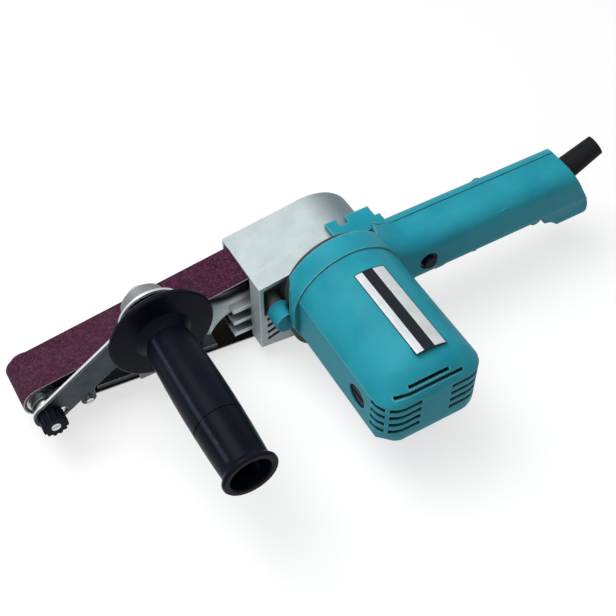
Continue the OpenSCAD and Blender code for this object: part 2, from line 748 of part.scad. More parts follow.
// Gear housing: tray, drive bearing seat, gear case, motor flange, vented wall and cast arm
module gear_housing() color("silver") difference() {
    union() {
        difference() {
            case_solid(0, case_front_at, 0, -tray_y, -seam_y);
            intersection() {
                case_solid(tray_t, case_front_at + tray_t, -tray_t, -tray_y - overrun, -web_y);
                block([case_front_at, -tray_y - overrun, -bell_r], [tray_rear_at - tray_t, 0, bell_r * 2]);
            }
            block([tray_rear_at, -tray_y - overrun, -bell_r], [handle_end_at, -web_y, bell_r * 2]);
        }
        rod_y(drive_x, 0, ring_r, -case_end, -web_y + overrun);
        rod_y(drive_x, motor_z, pinion_room_r + ring_t, -neck_y, -web_y + overrun);
        rod_y(drive_x, motor_z, neck_r, -case_end, -neck_y);
        rod_y(drive_x, motor_z, flange_r, -case_end, -case_end + flange_t);
        for (x = screw_x) rod_y(drive_x + x, motor_z - boss_z, boss_r * 0.68, -boss_y, -web_y + overrun);
        intersection() {
            case_solid(0, case_front_at, 0, -tray_y, -tray_y + louver_t);
            block([case_front_at, -tray_y, -bell_r], [louver_at, 0, louver_z]);
        }
        cast_arm();
    }
    rod_y(drive_x, 0, ring_r - ring_t, -bell_y - overrun, -room_y);
    rod_y(drive_x, 0, big_bearing_d / 2 + fit, -room_y - overrun, -seam_y - lip);
    rod_y(drive_x, 0, big_bearing_d / 2 - 2 * lip, -room_y, -seam_y + overrun);
    rod_y(drive_x, motor_z, pinion_room_r, -bell_y - overrun, -room_y);
    rod_y(drive_x, motor_z, neck_r - ring_t, -bell_y - overrun, -neck_y - ring_t);
    for (x = screw_x) {
        rod_y(drive_x + x, motor_z - boss_z, boss_r + control_gap, -bell_y - overrun, -boss_y);
        screw_room(drive_x + x, motor_z - boss_z, -seam_y, boss_y - seam_y, screw_d, screw_head_d,
            screw_head_h);
    }
    for (k = [0:3]) translate([louver_start_at, -tray_y, -louver_start_z + k * louver_step])
        rotate([0, -louver_lean, 0]) translate([0, -overrun, -louver_w / 2])
        cube([louver_len * (1 - k * 0.2), louver_t + 2 * overrun, louver_w]);
    for (z = cover_screw_zs) rod_y(cover_screw_x, z, screw_d / 2 + fit, -web_y - overrun, 0);
    rod_x(0, 0, rod_d / 2 + fit, arm_x - overrun, spring_x0 - collar_t + rod_len + slide_travel + belt_t);
    rod_y(hub_x, hub_z, stud_d / 2 + fit, -link_y - overrun, 0);
}

// Belt cover: open below and in front
module belt_cover() color("gainsboro") difference() {
    union() {
        difference() {
            case_solid(0, case_front_at, 0, -seam_y, cover_far_y);
            case_solid(case_t, case_front_at - overrun, case_t, -seam_y - overrun, cover_far_y - case_t);
        }
        for (z = cover_screw_zs) rod_y(cover_screw_x, z, screw_post_r, -seam_y, cover_far_y - case_t
            + overrun);
    }
    for (z = cover_screw_zs) screw_room(cover_screw_x, z, cover_far_y, cover_far_y + web_y - screw_head_h,
        screw_d, screw_head_d, screw_head_h);
}

// Handle as one closed form with its heel
module handle_solid() {
    intersection() {
        slab_x(handle_at, handle_end_at) translate([-handle_y, handle_z]) round_rect(handle_w, handle_h,
            handle_r);
        slab_y(-handle_near - overrun, -handle_far + overrun) polygon([[handle_at - overrun,
            handle_low - overrun],
            [end_low_x, handle_low - overrun], [end_low_x, handle_z - handle_h * 0.35],
            [end_top_x, handle_top + belt_t / 2], [handle_at - overrun, handle_top + belt_t / 2]]);
    }
    intersection() {
        slab_x(handle_end_at - heel_len, handle_end_at + overrun) translate([-handle_y,
            (handle_top - heel_z) / 2])
            round_rect(handle_w - handle_wall, handle_top + heel_z, handle_r * 0.8);
        slab_y(-handle_near, -handle_far) polygon(smooth([for (p = heel_shares)
            [handle_end_at - heel_len + p[0] * heel_len, -heel_z + p[1] * heel_h]], 2));
    }
}

// Hollow and openings of the handle
module handle_rooms() {
    slab_x(handle_at + handle_wall, hollow_end_at) translate([-handle_y, handle_z])
        round_rect(handle_w - 2 * handle_wall, handle_h - 2 * handle_wall, handle_r - handle_wall);
    block([trigger_at - control_gap, -handle_y - trigger_w / 2 - control_gap, handle_low - overrun],
        [trigger_at + trigger_len + control_gap, -handle_y + trigger_w / 2 + control_gap, handle_z]);
    guard_frame() translate([0, 0, -guard_in]) cylinder(d = guard_d + 2 * fit, h = guard_len + guard_in);
}

// Frame of the cord guard: root at zero, cord leaving upward to the rear
module guard_frame() {
    translate([guard_at, -handle_y, guard_z]) rotate([0, 90 - guard_lean, 0]) children();
}

// Side form of the motor: crown and belly fall to a short upright end face
module motor_side(inset, far) {
    top = motor_z + barrel_r + overrun / 2;
    low = motor_z - barrel_r - overrun / 2;
    intersection() {
        union() {
            translate([-motor_end_y + end_top_r - end_crease, top - end_top_r]) circle(end_top_r - inset);
            translate([-motor_end_y + end_low_r - end_crease, low + end_low_r]) circle(end_low_r - inset);
            translate([-motor_end_y, low + end_low_r]) square([motor_end_y,
                top - low - end_top_r - end_low_r]);
            translate([-motor_end_y + end_low_r, low + inset])
                square([motor_end_y - end_low_r, top - low - 2 * inset]);
        }
        translate([-far, low - overrun]) square([far, top - low + 2 * overrun]);
    }
}

// One oblique side of the motor end: it takes the corner between crown and end off softly
module motor_cheek(turn, side) {
    reach = (barrel_w / 2 - end_corner_r) * sin(abs(turn)) + (end_top_r - end_crease - end_corner_r)
        * cos(turn)
        + end_corner_r;
    top = barrel_r + overrun / 2;
    r = (reach * reach / (top - ridge_z) + top - ridge_z) / 2;
    translate([drive_x, end_mid_y, motor_z + side * (top - r)]) rotate([0, 0, turn]) rotate([0, 90, 0])
        cylinder(r = r, h = 4 * bell_r, center = true);
    block([drive_x - 2 * bell_r, end_mid_y, motor_z - 2 * bell_r], [drive_x + 2 * bell_r, 0, motor_z
        + 2 * bell_r]);
}

// Vents of the motor end: rows that wrap both corners and two slots over the end
module motor_vents() {
    for (s = [0, 1]) translate([drive_x, 0, 0]) mirror([s, 0, 0]) difference() {
        for (k = [0:3]) translate([0, -motor_end_y - overrun, motor_z
            + vent_top - vent_w / 2 - k * vent_step]) {
            translate([vent_bare, 0, 0]) cube([barrel_w, end_t + overrun + lip, vent_w]);
            translate([barrel_w / 2 - end_corner_r + lip, 0, 0]) cube([barrel_w, vent_wrap, vent_w]);
        }
        translate([barrel_w / 2 - end_corner_r, -motor_end_y + end_corner_r, 0]) rotate([0, 0, -45])
            translate([end_corner_r / 2, -rib_t * 0.4, 0]) cube([end_corner_r, rib_t * 0.8, 2 * bell_r]);
    }
    for (k = [0, 1]) translate([drive_x, end_mid_y, motor_z + barrel_r - end_top_r])
        rotate([-crown_vent_turns[k], 0, 0]) translate([-crown_vent_len * (0.67 + 0.35 * k),
            -end_top_r - overrun,
            -crown_vent_w / 2]) cube([crown_vent_len * (1.03 + 0.67 * k), end_top_r / 2, crown_vent_w]);
}

// Plan of the bell, which narrows to its front rim on the side away from the handle
module bell_plan(inset) {
    translate([drive_x, 0, motor_z - bell_r - overrun]) linear_extrude(2 * bell_r + 2 * overrun)
        polygon([[inset - bell_front_w / 2, overrun - bell_y], [bell_r + overrun, overrun - bell_y],
            [bell_r + overrun, -shoulder_y - overrun], [inset - bell_r, -shoulder_y - overrun]]);
}

// Motor housing: bell, barrel and the near half of the handle in one moulding
module motor_housing() color("teal") difference() {
    union() {
        difference() {
            union() {
                intersection() {
                    rod_y(drive_x, motor_z, bell_r, -shoulder_y, -bell_y);
                    bell_plan(0);
                }
                intersection() {
                    slab_y(-motor_end_y, -bell_y - motor_wall) translate([drive_x, motor_z])
                        intersection() {
                        circle(barrel_r);
                        square([barrel_w, 2 * bell_r], center = true);
                    }
                    translate([drive_x, -motor_end_y / 2, motor_z - bell_r]) linear_extrude(2 * bell_r)
                        round_rect(barrel_w + overrun, motor_end_y, end_corner_r);
                    slab_x(drive_x - bell_r, drive_x + bell_r) motor_side(0, motor_end_y);
                    motor_cheek(cheek_turns[0], 1);
                    motor_cheek(cheek_turns[1], 1);
                    motor_cheek(cheek_turns[2], 1);
                    motor_cheek(-cheek_turns[0], 1);
                    motor_cheek(-cheek_turns[1], 1);
                    motor_cheek(-cheek_turns[2], 1);
                    motor_cheek(cheek_turns[1], -1);
                    motor_cheek(-cheek_turns[1], -1);
                }
                intersection() {
                    slab_x(drive_x, handle_at) translate([-handle_y, handle_z]) round_rect(handle_w,
                        handle_h, handle_r);
                    block([drive_x - overrun, -handle_near - overrun, handle_low - overrun],
                        [handle_at + overrun, -bell_y - overrun, handle_top + overrun]);
                }
                for (x = screw_x) rod_y(drive_x + x, motor_z - boss_z, boss_r,
                    -bell_y - (x < 0 ? motor_wall : overrun), -boss_y);
            }
            intersection() {
                rod_y(drive_x, motor_z, bell_r - motor_wall, -shoulder_y + motor_wall, -bell_y - mouth_t);
                bell_plan(motor_wall);
            }
            rod_y(drive_x, motor_z, mouth_r, -bell_y - mouth_t - overrun, -bell_y + overrun);
            intersection() {
                rod_y(drive_x, motor_z, bore_r, -motor_end_y + end_t, -shoulder_y + 2 * motor_wall);
                slab_x(drive_x - bell_r, drive_x + bell_r) motor_side(motor_wall, motor_end_y - end_t
                    + overrun);
                translate([drive_x, 0, motor_z - bell_r]) linear_extrude(2 * bell_r)
                    round_rect(barrel_w - 2 * motor_wall, 2 * (motor_end_y - end_t), end_corner_r * 1.4);
            }
        }
        difference() {
            rod_y(drive_x, motor_z, tail_bearing_d / 2 + seat_wall, -motor_end_y + end_t - overrun,
                -motor_end_y + end_t + tail_bearing_w + belt_t);
            rod_y(drive_x, motor_z, tail_bearing_d / 2 + fit, -motor_end_y + end_t, -brush_y);
        }
    }
    for (s = [-1, 1]) {
        translate([drive_x, 0, 0]) rod_x(-brush_y, motor_z, cap_d / 2 + fit, s > 0 ? brush_x
            + brush_len : -barrel_w,
            s > 0 ? barrel_w : -brush_x - brush_len);
    }
    rod_y(drive_x, motor_z, fan_r + motor_wall / 3, -fan_y - lip, -fan_y + fan_disc_t + fan_h + lip);
    motor_vents();
    for (x = screw_x) rod_y(drive_x + x, motor_z - boss_z, screw_d / 2 + fit, -bell_y - overrun / 2, 0);
    rod_y(drive_x + boss_x, motor_z - boss_z, boss_r * 0.68 + control_gap, -boss_y, 0);
}

// Near half of the handle, moulded on to the motor housing
module handle_shell() color("teal") difference() {
    union() {
        difference() {
            intersection() {
                handle_solid();
                block([handle_at - overrun, -motor_end_y, -bell_r], [handle_end_at + overrun, -part_y,
                    bell_r * 2]);
            }
            handle_rooms();
        }
        block([handle_at - cheek, -bell_y + fit, handle_z], [handle_at + handle_wall / 2, -part_y,
            handle_top]);
        for (p = handle_screw_spots) rod_y(p[0], p[1], screw_post_r, -handle_near + belt_t, -part_y);
        for (k = [0.12, 0.7]) translate([trigger_at + k * switch_len, -handle_y - switch_w / 2,
            handle_low + trigger_in + trigger_stroke + belt_t + switch_h])
            cube([rib_t, handle_y + switch_w / 2 - part_y,
                handle_top - handle_wall / 2 - handle_low - trigger_in
                - trigger_stroke - belt_t - switch_h]);
    }
    rod_y(drive_x + boss_x, motor_z - boss_z, boss_r * 0.68 + control_gap, -boss_y, 0);
    rod_y(drive_x + boss_x, motor_z - boss_z, boss_r + fit, -bell_y - overrun - fit, -boss_y + overrun);
    rod_y(drive_x, motor_z, bell_r + fit, -motor_end_y, -bell_y + fit);
    rod_y(lock_at, lock_z, lock_d / 2 + 2 * fit, -handle_near - overrun, -handle_y);
    rod_y(lock_at, lock_z, lock_d / 2 + lock_dish, -handle_near - overrun, -handle_near + handle_wall / 2);
    for (p = handle_screw_spots) rod_y(p[0], p[1], screw_d / 2 + fit,
        -handle_far - screw_head_h - handle_screw_len
        - overrun, 0);
}

// Far half of the handle with the tab that lies over the belt cover
module handle_cover() color("teal") difference() {
    union() {
        difference() {
            intersection() {
                handle_solid();
                block([handle_at - overrun, -part_y, -bell_r], [handle_end_at + overrun, 0, bell_r * 2]);
            }
            handle_rooms();
        }
        block([handle_at, -part_y, handle_z], [tab_rear_at, -handle_far, handle_top]);
        block([tab_at, -tab_near_y, handle_top - tab_t], [tab_step_at, -tab_far_y, handle_top]);
        for (p = handle_screw_spots) rod_y(p[0], p[1], screw_post_r, -part_y, -handle_far - belt_t);
    }
    rod_y(drive_x + boss_x, motor_z - boss_z, boss_r * 0.68 + control_gap, -boss_y, 0);
    block([notch_at, -tab_far_y - notch_d, handle_top - tab_t - overrun],
        [notch_at + notch_w, overrun, handle_top + overrun]);
    for (p = handle_screw_spots) screw_room(p[0], p[1], -handle_far, handle_screw_len, screw_d,
        screw_head_d,
        screw_head_h);
}

// Endless belt round both pulleys
module sanding_belt() color("maroon") {
    rotate([90, 0, 0]) rotate([0, 0, 90 + lean]) rotate_extrude(angle = 180 - 2 * lean)
        translate([r1, -belt_w / 2]) square([belt_t, belt_w]);
    translate([drive_x, 0, 0]) rotate([90, 0, 0]) rotate([0, 0, -90 - lean])
        rotate_extrude(angle = 180 + 2 * lean) translate([r2, -belt_w / 2]) square([belt_t, belt_w]);
    for (s = [0, 1]) mirror([0, 0, s]) rotate([0, -lean, 0])
        translate([-belt_t * lap_share, -belt_w / 2, r1 + belt_t * skin_share])
        cube([run_len + 2 * belt_t * lap_share, belt_w, belt_t * (1 - 2 * skin_share)]);
}

// Steel shoe that backs the lower run, on two legs from the arm
module shoe_plate() color("dimgray") {
    rotate([0, lean, 0]) translate([shoe_x, -shoe_w / 2, -r1 + belt_gap + pad_t])
        cube([shoe_len, shoe_w, shoe_t]);
    for (x = [arm_x + overrun, horn_mouth_at - leg_len - overrun])
        slab_y(-leg_w / 2, leg_w / 2) polygon([[x, -beam_low_z], [x + leg_len, -beam_low_z],
            [x + leg_len, -top_z(x + leg_len, -belt_t - belt_gap - pad_t - shoe_t / 2)],
            [x, -top_z(x, -belt_t - belt_gap - pad_t - shoe_t / 2)]]);
}

// Graphite pad between shoe and belt
module shoe_pad() color("black") rotate([0, lean, 0]) translate([shoe_x, -shoe_w / 2, -r1 + belt_gap])
    cube([shoe_len, shoe_w, pad_t]);

// Link plate from the nose axle to the hub of the side grip
module link_plate() color("slategray") difference() {
    slab_y(-link_end, -link_y) {
        circle(link_w / 2);
        rotate(link_lean) translate([0, -link_w * 0.485]) square([link_span, link_w * 0.97]);
        translate([hub_x, hub_z]) circle(link_hub_r);
        translate([link_lug_x, link_lug_z]) circle(link_lug_r);
        translate([link_lug_x - link_lug_r * 0.94, link_lug_z]) square([link_lug_r * 1.88, link_w / 2]);
    }
    slab_y(-link_end - overrun, -link_y + overrun) {
        circle(axle_d / 2 + 2 * fit);
        translate([slide_travel, 0]) circle(axle_d / 2 + 2 * fit);
        translate([0, -axle_d / 2 - fit]) square([slide_travel, axle_d + 2 * fit]);
    }
    rod_y(hub_x, hub_z, stud_d / 2 + fit, -link_end - overrun, 0);
    rod_y(link_lug_x, link_lug_z, screw_drive_d / 2 + fit, -link_end - overrun, 0);
}

// Cap nut behind the hub
module grip_nut() color("lightgray") lathe_y(hub_x, hub_z) polygon([[stud_d / 2 + fit, post_y - tray_t],
    [dome_d / 2, post_y - tray_t], [dome_d / 2, post_y - tray_t - dome_h * 0.45],
    [dome_d * 0.46, post_y - tray_t - dome_h * 0.7], [dome_d * 0.34, post_y - tray_t - dome_h * 0.9],
    [dome_d * 0.2, post_y - tray_t - dome_h], [0, post_y - tray_t - dome_h], [0,
        post_y - tray_t - dome_h * 0.8],
    [stud_d / 2 + fit, post_y - tray_t - dome_h * 0.8]]);

// Plate between gear case and motor with both inner bearing seats
module bearing_plate() color("lightsteelblue") difference() {
    union() {
        rod_y(drive_x, motor_z, flange_r, -bell_y, -case_end);
        rod_y(drive_x, 0, ring_r, -bell_y, -case_end);
        rod_y(drive_x, motor_z, big_bearing_d / 2 + seat_wall * 0.7, -plate_end, -bell_y + overrun);
    }
    rod_y(drive_x, motor_z, big_bearing_d / 2 + fit, -plate_end - overrun, -bell_y - lip / 2);
    rod_y(drive_x, motor_z, big_bearing_d / 2 - 2 * lip, -plate_end, -case_end + overrun);
    rod_y(drive_x, 0, small_bearing_d / 2 + fit, -bell_y + lip / 2, -case_end + overrun);
    for (x = screw_x) rod_y(drive_x + x, motor_z - boss_z, boss_r + control_gap, -plate_end, -case_end
        + overrun);
}

// Laminated field core with four windows for the coils
module field_core() color("gray") difference() {
    intersection() {
        rod_y(drive_x, motor_z, bore_r - 2 * fit, -core_y - core_len, -core_y);
        slab_y(-core_y - core_len - overrun, -core_y + overrun) translate([drive_x, motor_z])
            square([barrel_w - 2 * motor_wall - 2 * fit, 2 * bell_r], center = true);
    }
    rod_y(drive_x, motor_z, armature_d / 2 + air_gap, -core_y - core_len - overrun, -core_y + overrun);
    for (a = [45:90:315]) rod_y(drive_x + coil_ring_r * cos(a), motor_z + coil_ring_r * sin(a), coil_r
        + fit,
        -core_y - core_len - overrun, -core_y + overrun);
}

// Two field coils: straight bundles joined by end turns
module field_coils() color("darkgoldenrod") for (a = [45, 225]) {
    for (b = [a, a + 90]) rod_y(drive_x + coil_ring_r * cos(b), motor_z + coil_ring_r * sin(b), coil_r,
        -core_y - core_len - coil_over, -core_y + coil_over);
    for (y = [-core_y - core_len - coil_over, -core_y + coil_over]) translate([drive_x, y, motor_z])
        rotate([90, 0, 0]) rotate([0, 0, a]) rotate_extrude(angle = 90) translate([coil_ring_r, 0])
            circle(coil_r * 0.94);
}

// Pieces beside the commutator stand on both sides of the motor axis
module both_sides() {
    for (s = [0, 1]) translate([drive_x, -brush_y, motor_z]) mirror([s, 0, 0]) children();
}

brush_x = commutator_d / 2 + 2 * fit;
cap_x = barrel_w / 2 - cap_sink - cap_t;

// Brass tubes that guide the brushes
module brush_holders() color("goldenrod") both_sides() difference() {
    translate([brush_x + 2 * brush_wall, -brush_w / 2 - brush_wall, -brush_h / 2 - brush_wall])
        cube([cap_x - brush_x - 2 * brush_wall, brush_w + 2 * brush_wall, brush_h + 2 * brush_wall]);
    translate([0, -brush_w / 2 - fit, -brush_h / 2 - fit]) cube([barrel_w, brush_w + 2 * fit, brush_h
        + 2 * fit]);
}

// Carbon brushes on the commutator
module carbon_brushes() color("black") both_sides() translate([brush_x, -brush_w / 2, -brush_h / 2])
    cube([brush_len, brush_w, brush_h]);

// Springs that press the brushes
module brush_springs() color("silver") both_sides() spring(brush_w * 0.36, brush_x + brush_len, cap_x,
    brush_wall / 2, 4);

// Slotted caps over the brushes
module brush_caps() color("black") both_sides() difference() {
    rod_x(0, 0, cap_d / 2, cap_x, cap_x + cap_t);
    translate([cap_x + cap_t / 2, -cap_d * 0.32, -cap_d * 0.06]) cube([cap_t, cap_d * 0.64, cap_d * 0.12]);
}

// Ball bearings of the armature
module armature_bearings() color("lightgray") {
    bearing(drive_x, motor_z, big_bearing_d, shaft_d, -bell_y - lip / 2 - big_bearing_w, big_bearing_w);
    bearing(drive_x, motor_z, tail_bearing_d, tail_d, -motor_end_y + end_t, tail_bearing_w);
}

// Ball bearings of the drive shaft
module drive_bearings() color("lightgray") {
    bearing(drive_x, 0, big_bearing_d, shaft_d, -seam_y - lip - big_bearing_w, big_bearing_w);
    bearing(drive_x, 0, small_bearing_d, shaft_tip_d, -bell_y + lip / 2, small_bearing_w);
}

// Switch inside the handle
module switch_body() color("dimgray") translate([trigger_at, -handle_y - switch_w / 2,
    handle_low + trigger_in + trigger_stroke + belt_t]) cube([switch_len, switch_w, switch_h]);

// Rubber guard with the cord bore
module cord_guard() color("black") guard_frame() rotate_extrude() polygon([[cord_d / 2,
    -guard_in - clamp_t],
    [guard_d * 0.57, -guard_in - clamp_t], [guard_d * 0.57, -guard_in - belt_t], [guard_d / 2,
        -guard_in - belt_t],
    [guard_d / 2, 0], [guard_tip_d / 2, guard_len], [cord_d / 2, guard_len]]);

// Clamp that holds the cord against the near wall
module cord_clamp() color("dimgray") translate([handle_screw_spots[1][0] + clamp_t * 2, -handle_near
    + handle_wall,
    handle_z - switch_h * 0.3]) cube([clamp_t * 2, clamp_t, switch_h * 0.6]);

// Screws that join gear housing and motor housing
module housing_screws() color("silver") for (x = screw_x) screw(drive_x + x, motor_z - boss_z, -seam_y,
    bell_y - seam_y - screw_head_h, screw_d, screw_head_d, screw_head_h);

// Screws that hold the belt cover
module cover_screws() color("silver") for (z = cover_screw_zs) screw(cover_screw_x, z, cover_far_y,
    cover_far_y + web_y - screw_head_h, screw_d, screw_head_d, screw_head_h);

// Screws that hold the handle cover
module handle_screws() color("silver") for (p = handle_screw_spots) screw(p[0], p[1], -handle_far,
    handle_screw_len, screw_d, screw_head_d, screw_head_h);

// Tracking lock screw, head on the near face of the link plate
module plate_screw() color("silver") difference() {
    union() {
        rod_y(link_lug_x, link_lug_z, screw_drive_d / 2, -link_end, -link_y + link_t);
        rod_y(link_lug_x, link_lug_z, screw_drive_d * 0.83, -link_end - screw_head_h, -link_end);
    }
    block([link_lug_x - screw_drive_d, -link_end - screw_head_h - overrun, link_lug_z - lip / 2],
        [link_lug_x + screw_drive_d, -link_end - screw_head_h / 2, link_lug_z + lip / 2]);
}

// Drive pulley with recessed faces and lightening holes
module drive_pulley() color("lightsteelblue") difference() {
    rod_y(drive_x, 0, drive_d / 2 - tyre_t, -face_w / 2, face_w / 2);
    for (y = [-face_w / 2 - overrun, face_w / 2 - hub_recess]) difference() {
        rod_y(drive_x, 0, drive_d / 2 - tyre_t - rim_t, y, y + hub_recess + overrun);
        if (y < 0) rod_y(drive_x, 0, hub_d / 2, y - overrun, y + hub_recess + 2 * overrun);
    }
    for (a = [0:72:288]) rod_y(drive_x + (drive_d / 2 - tyre_t - rim_t + hub_d / 2) / 2 * cos(a),
        (drive_d / 2 - tyre_t - rim_t + hub_d / 2) / 2 * sin(a), light_d / 2, -face_w, face_w);
    rod_y(drive_x, 0, shaft_d / 2 + fit, -face_w, face_w);
}

// Rubber on the drive pulley
module drive_tyre() color("black") difference() {
    rod_y(drive_x, 0, drive_d / 2, -face_w / 2, face_w / 2);
    rod_y(drive_x, 0, drive_d / 2 - tyre_t, -face_w, face_w);
}

// Drive shaft
module drive_shaft() color("silver") {
    rod_y(drive_x, 0, shaft_d / 2, -case_end + lip / 2, face_w / 2 - hub_recess);
    rod_y(drive_x, 0, shaft_tip_d / 2, face_w / 2 - hub_recess, face_w / 2 - lip);
    rod_y(drive_x, 0, shaft_tip_d / 2, -bell_y + lip, -case_end + lip / 2);
}

// Drive gear
module drive_gear() color("darkgray") difference() {
    slab_y(-gear_y - gear_w, -gear_y) translate([drive_x, 0]) polygon(gear_outline(gear_teeth, gear_pitch_r,
        gear_pitch_r - gear_module * ded_share, gear_pitch_r + gear_module * add_share));
    rod_y(drive_x, 0, shaft_d / 2 + fit, -bell_y, 0);
}

// Nut that holds the drive pulley
module pulley_nut() color("silver") difference() {
    translate([drive_x, face_w / 2 - hub_recess + nut_h, 0]) rotate([90, 0, 0])
        cylinder(d = nut_s / cos(30),
        h = nut_h, $fn = 6);
    rod_y(drive_x, 0, shaft_tip_d / 2 + fit, 0, face_w);
}

// Armature shaft with its pinion
module armature_shaft() color("silver") {
    slab_y(-bell_y, -gear_y) translate([drive_x, motor_z]) rotate(180 / pinion_teeth)
        polygon(gear_outline(pinion_teeth, pinion_pitch_r, pinion_pitch_r - gear_module * ded_share,
        pinion_pitch_r + gear_module * pinion_add_share));
    rod_y(drive_x, motor_z, shaft_d / 2, -brush_y - commutator_w / 2 - belt_t, -bell_y);
    rod_y(drive_x, motor_z, tail_d / 2, -motor_end_y + end_t, -brush_y - commutator_w / 2 - belt_t);
}

// Slotted armature core
module armature_core() color("gray") difference() {
    rod_y(drive_x, motor_z, armature_d / 2, -core_y - core_len, -core_y);
    rod_y(drive_x, motor_z, shaft_d / 2 + fit, -motor_end_y, 0);
    for (a = [0:30:330]) translate([drive_x, -core_y - core_len - overrun, motor_z]) rotate([0, a, 0])
        translate([armature_d * 0.38, 0, -brush_wall / 2]) cube([armature_d, core_len + 2 * overrun,
            brush_wall]);
}

// End turns of the armature winding
module armature_winding() color("darkgoldenrod") for (y = [-core_y - core_len, -core_y + coil_over])
    difference() {
    rod_y(drive_x, motor_z, armature_d * 0.44, y - coil_over, y);
    rod_y(drive_x, motor_z, shaft_d / 2 + fit, y - coil_over - overrun, y + overrun);
}

// Commutator with its bars parted by slits
module commutator() color("peru") difference() {
    rod_y(drive_x, motor_z, commutator_d / 2, -brush_y - commutator_w / 2, -brush_y + commutator_w / 2);
    rod_y(drive_x, motor_z, shaft_d / 2 + fit, -motor_end_y, 0);
    for (a = [0:30:330]) translate([drive_x, -brush_y - commutator_w, motor_z]) rotate([0, a, 0])
        translate([commutator_d * 0.44, 0, -lip / 4]) cube([commutator_d, 2 * commutator_w, lip / 2]);
}

// Cooling fan with straight blades
module cooling_fan() color("dimgray") difference() {
    union() {
        rod_y(drive_x, motor_z, fan_r, -fan_y, -fan_y + fan_disc_t);
        rod_y(drive_x, motor_z, shaft_d / 2 + seat_wall, -fan_y, -fan_y + fan_disc_t + fan_h);
        for (a = [0:40:320]) translate([drive_x, -fan_y + fan_disc_t / 2, motor_z]) rotate([0, a, 0])
            translate([shaft_d, 0, -fan_disc_t / 2]) cube([fan_r * 0.96 - shaft_d, fan_h
                + fan_disc_t / 2, fan_disc_t]);
    }
    rod_y(drive_x, motor_z, shaft_d / 2 + fit, -motor_end_y, 0);
}

// Sliding fork that carries the nose axle, with its rod
module tension_yoke() color("dimgray") difference() {
    union() {
        for (y = [-yoke_out, yoke_in]) slab_y(y, y + yoke_t) {
            circle(yoke_r);
            translate([0, -fork_h]) square([yoke_x + yoke_bridge, 2 * fork_h]);
        }
        block([yoke_x, -yoke_out, -fork_h], [yoke_x + yoke_bridge, yoke_out, fork_h]);
        rod_x(0, 0, spring_r + spring_d, yoke_x + yoke_bridge, spring_x0);
        rod_x(0, 0, rod_d / 2, yoke_x + yoke_bridge, yoke_x + yoke_bridge + rod_len);
    }
    rod_y(0, 0, axle_d / 2 + fit, -yoke_out - overrun, yoke_out + overrun);
}

// Nose axle with its spacer collar and slotted end
module idler_axle() color("silver") difference() {
    union() {
        rod_y(0, 0, axle_d / 2, -knob_end, yoke_out);
        rod_y(0, 0, axle_d, -link_y + control_gap, -yoke_out);
    }
    block([-axle_d, -knob_end - overrun, -lip / 2], [axle_d, -knob_end + lip, lip / 2]);
}

// Spring that pushes the nose forward
module tension_spring() color("silver") spring(spring_r, spring_x0, arm_x, spring_d, spring_curls);
echo(tension_spring_gap = coil_gap(spring_r, spring_x0, arm_x, spring_d, spring_curls),
    brush_spring_gap = coil_gap(brush_w * 0.36, brush_x + brush_len, cap_x, brush_wall / 2, 4));

// Nose pulley
module idler_pulley() color("dimgray") difference() {
    rod_y(0, 0, idler_d / 2, -face_w / 2, face_w / 2);
    rod_y(0, 0, axle_d * 0.9, -face_w, face_w);
    for (y = [-face_w / 2 - overrun, face_w / 2 - idler_bearing_w])
        rod_y(0, 0, idler_bearing_d / 2 + fit, y, y + idler_bearing_w + overrun);
}

// Ball bearings of the nose pulley
module idler_bearings() color("lightgray") for (y = [-face_w / 2, face_w / 2 - idler_bearing_w])
    bearing(0, 0, idler_bearing_d, axle_d, y, idler_bearing_w);

// Fluted tracking knob
module tracking_knob() color("black") difference() {
    rod_y(0, 0, knob_d / 2, -knob_end, -link_end - control_gap);
    rod_y(0, 0, axle_d / 2 + fit, -knob_end - overrun, 0);
    for (a = [0:30:330]) rod_y(knob_d / 2 * cos(a), knob_d / 2 * sin(a), knob_rib_d / 2,
        -knob_end - overrun, -link_end - control_gap - lip);
}

// Trigger under the handle
module trigger() color("black") difference() {
    union() {
        block([trigger_at, -handle_y - trigger_w / 2, handle_low - trigger_out],
            [trigger_at + trigger_len, -handle_y + trigger_w / 2, handle_low + trigger_in]);
        block([trigger_at - handle_wall, -handle_y - trigger_w / 2, handle_low + handle_wall + control_gap],
            [trigger_at + trigger_len + handle_wall, -handle_y + trigger_w / 2, handle_low + trigger_in]);
    }
    rod_y(trigger_at + trigger_len * 0.56, handle_low - trigger_out - trigger_len * 0.55,
        trigger_len * 0.66,
        -handle_y - trigger_w, -handle_y + trigger_w);
}

// Lock button on the near side of the handle
module lock_button() color("black") {
    rod_y(lock_at, lock_z, lock_d / 2, -handle_near - lock_out, -handle_near - lock_out + lock_len);
    rod_y(lock_at, lock_z, lock_d / 2 + lock_dish * 0.7, -handle_near + handle_wall + control_gap,
        -handle_near + handle_wall + control_gap + lock_dish);
}

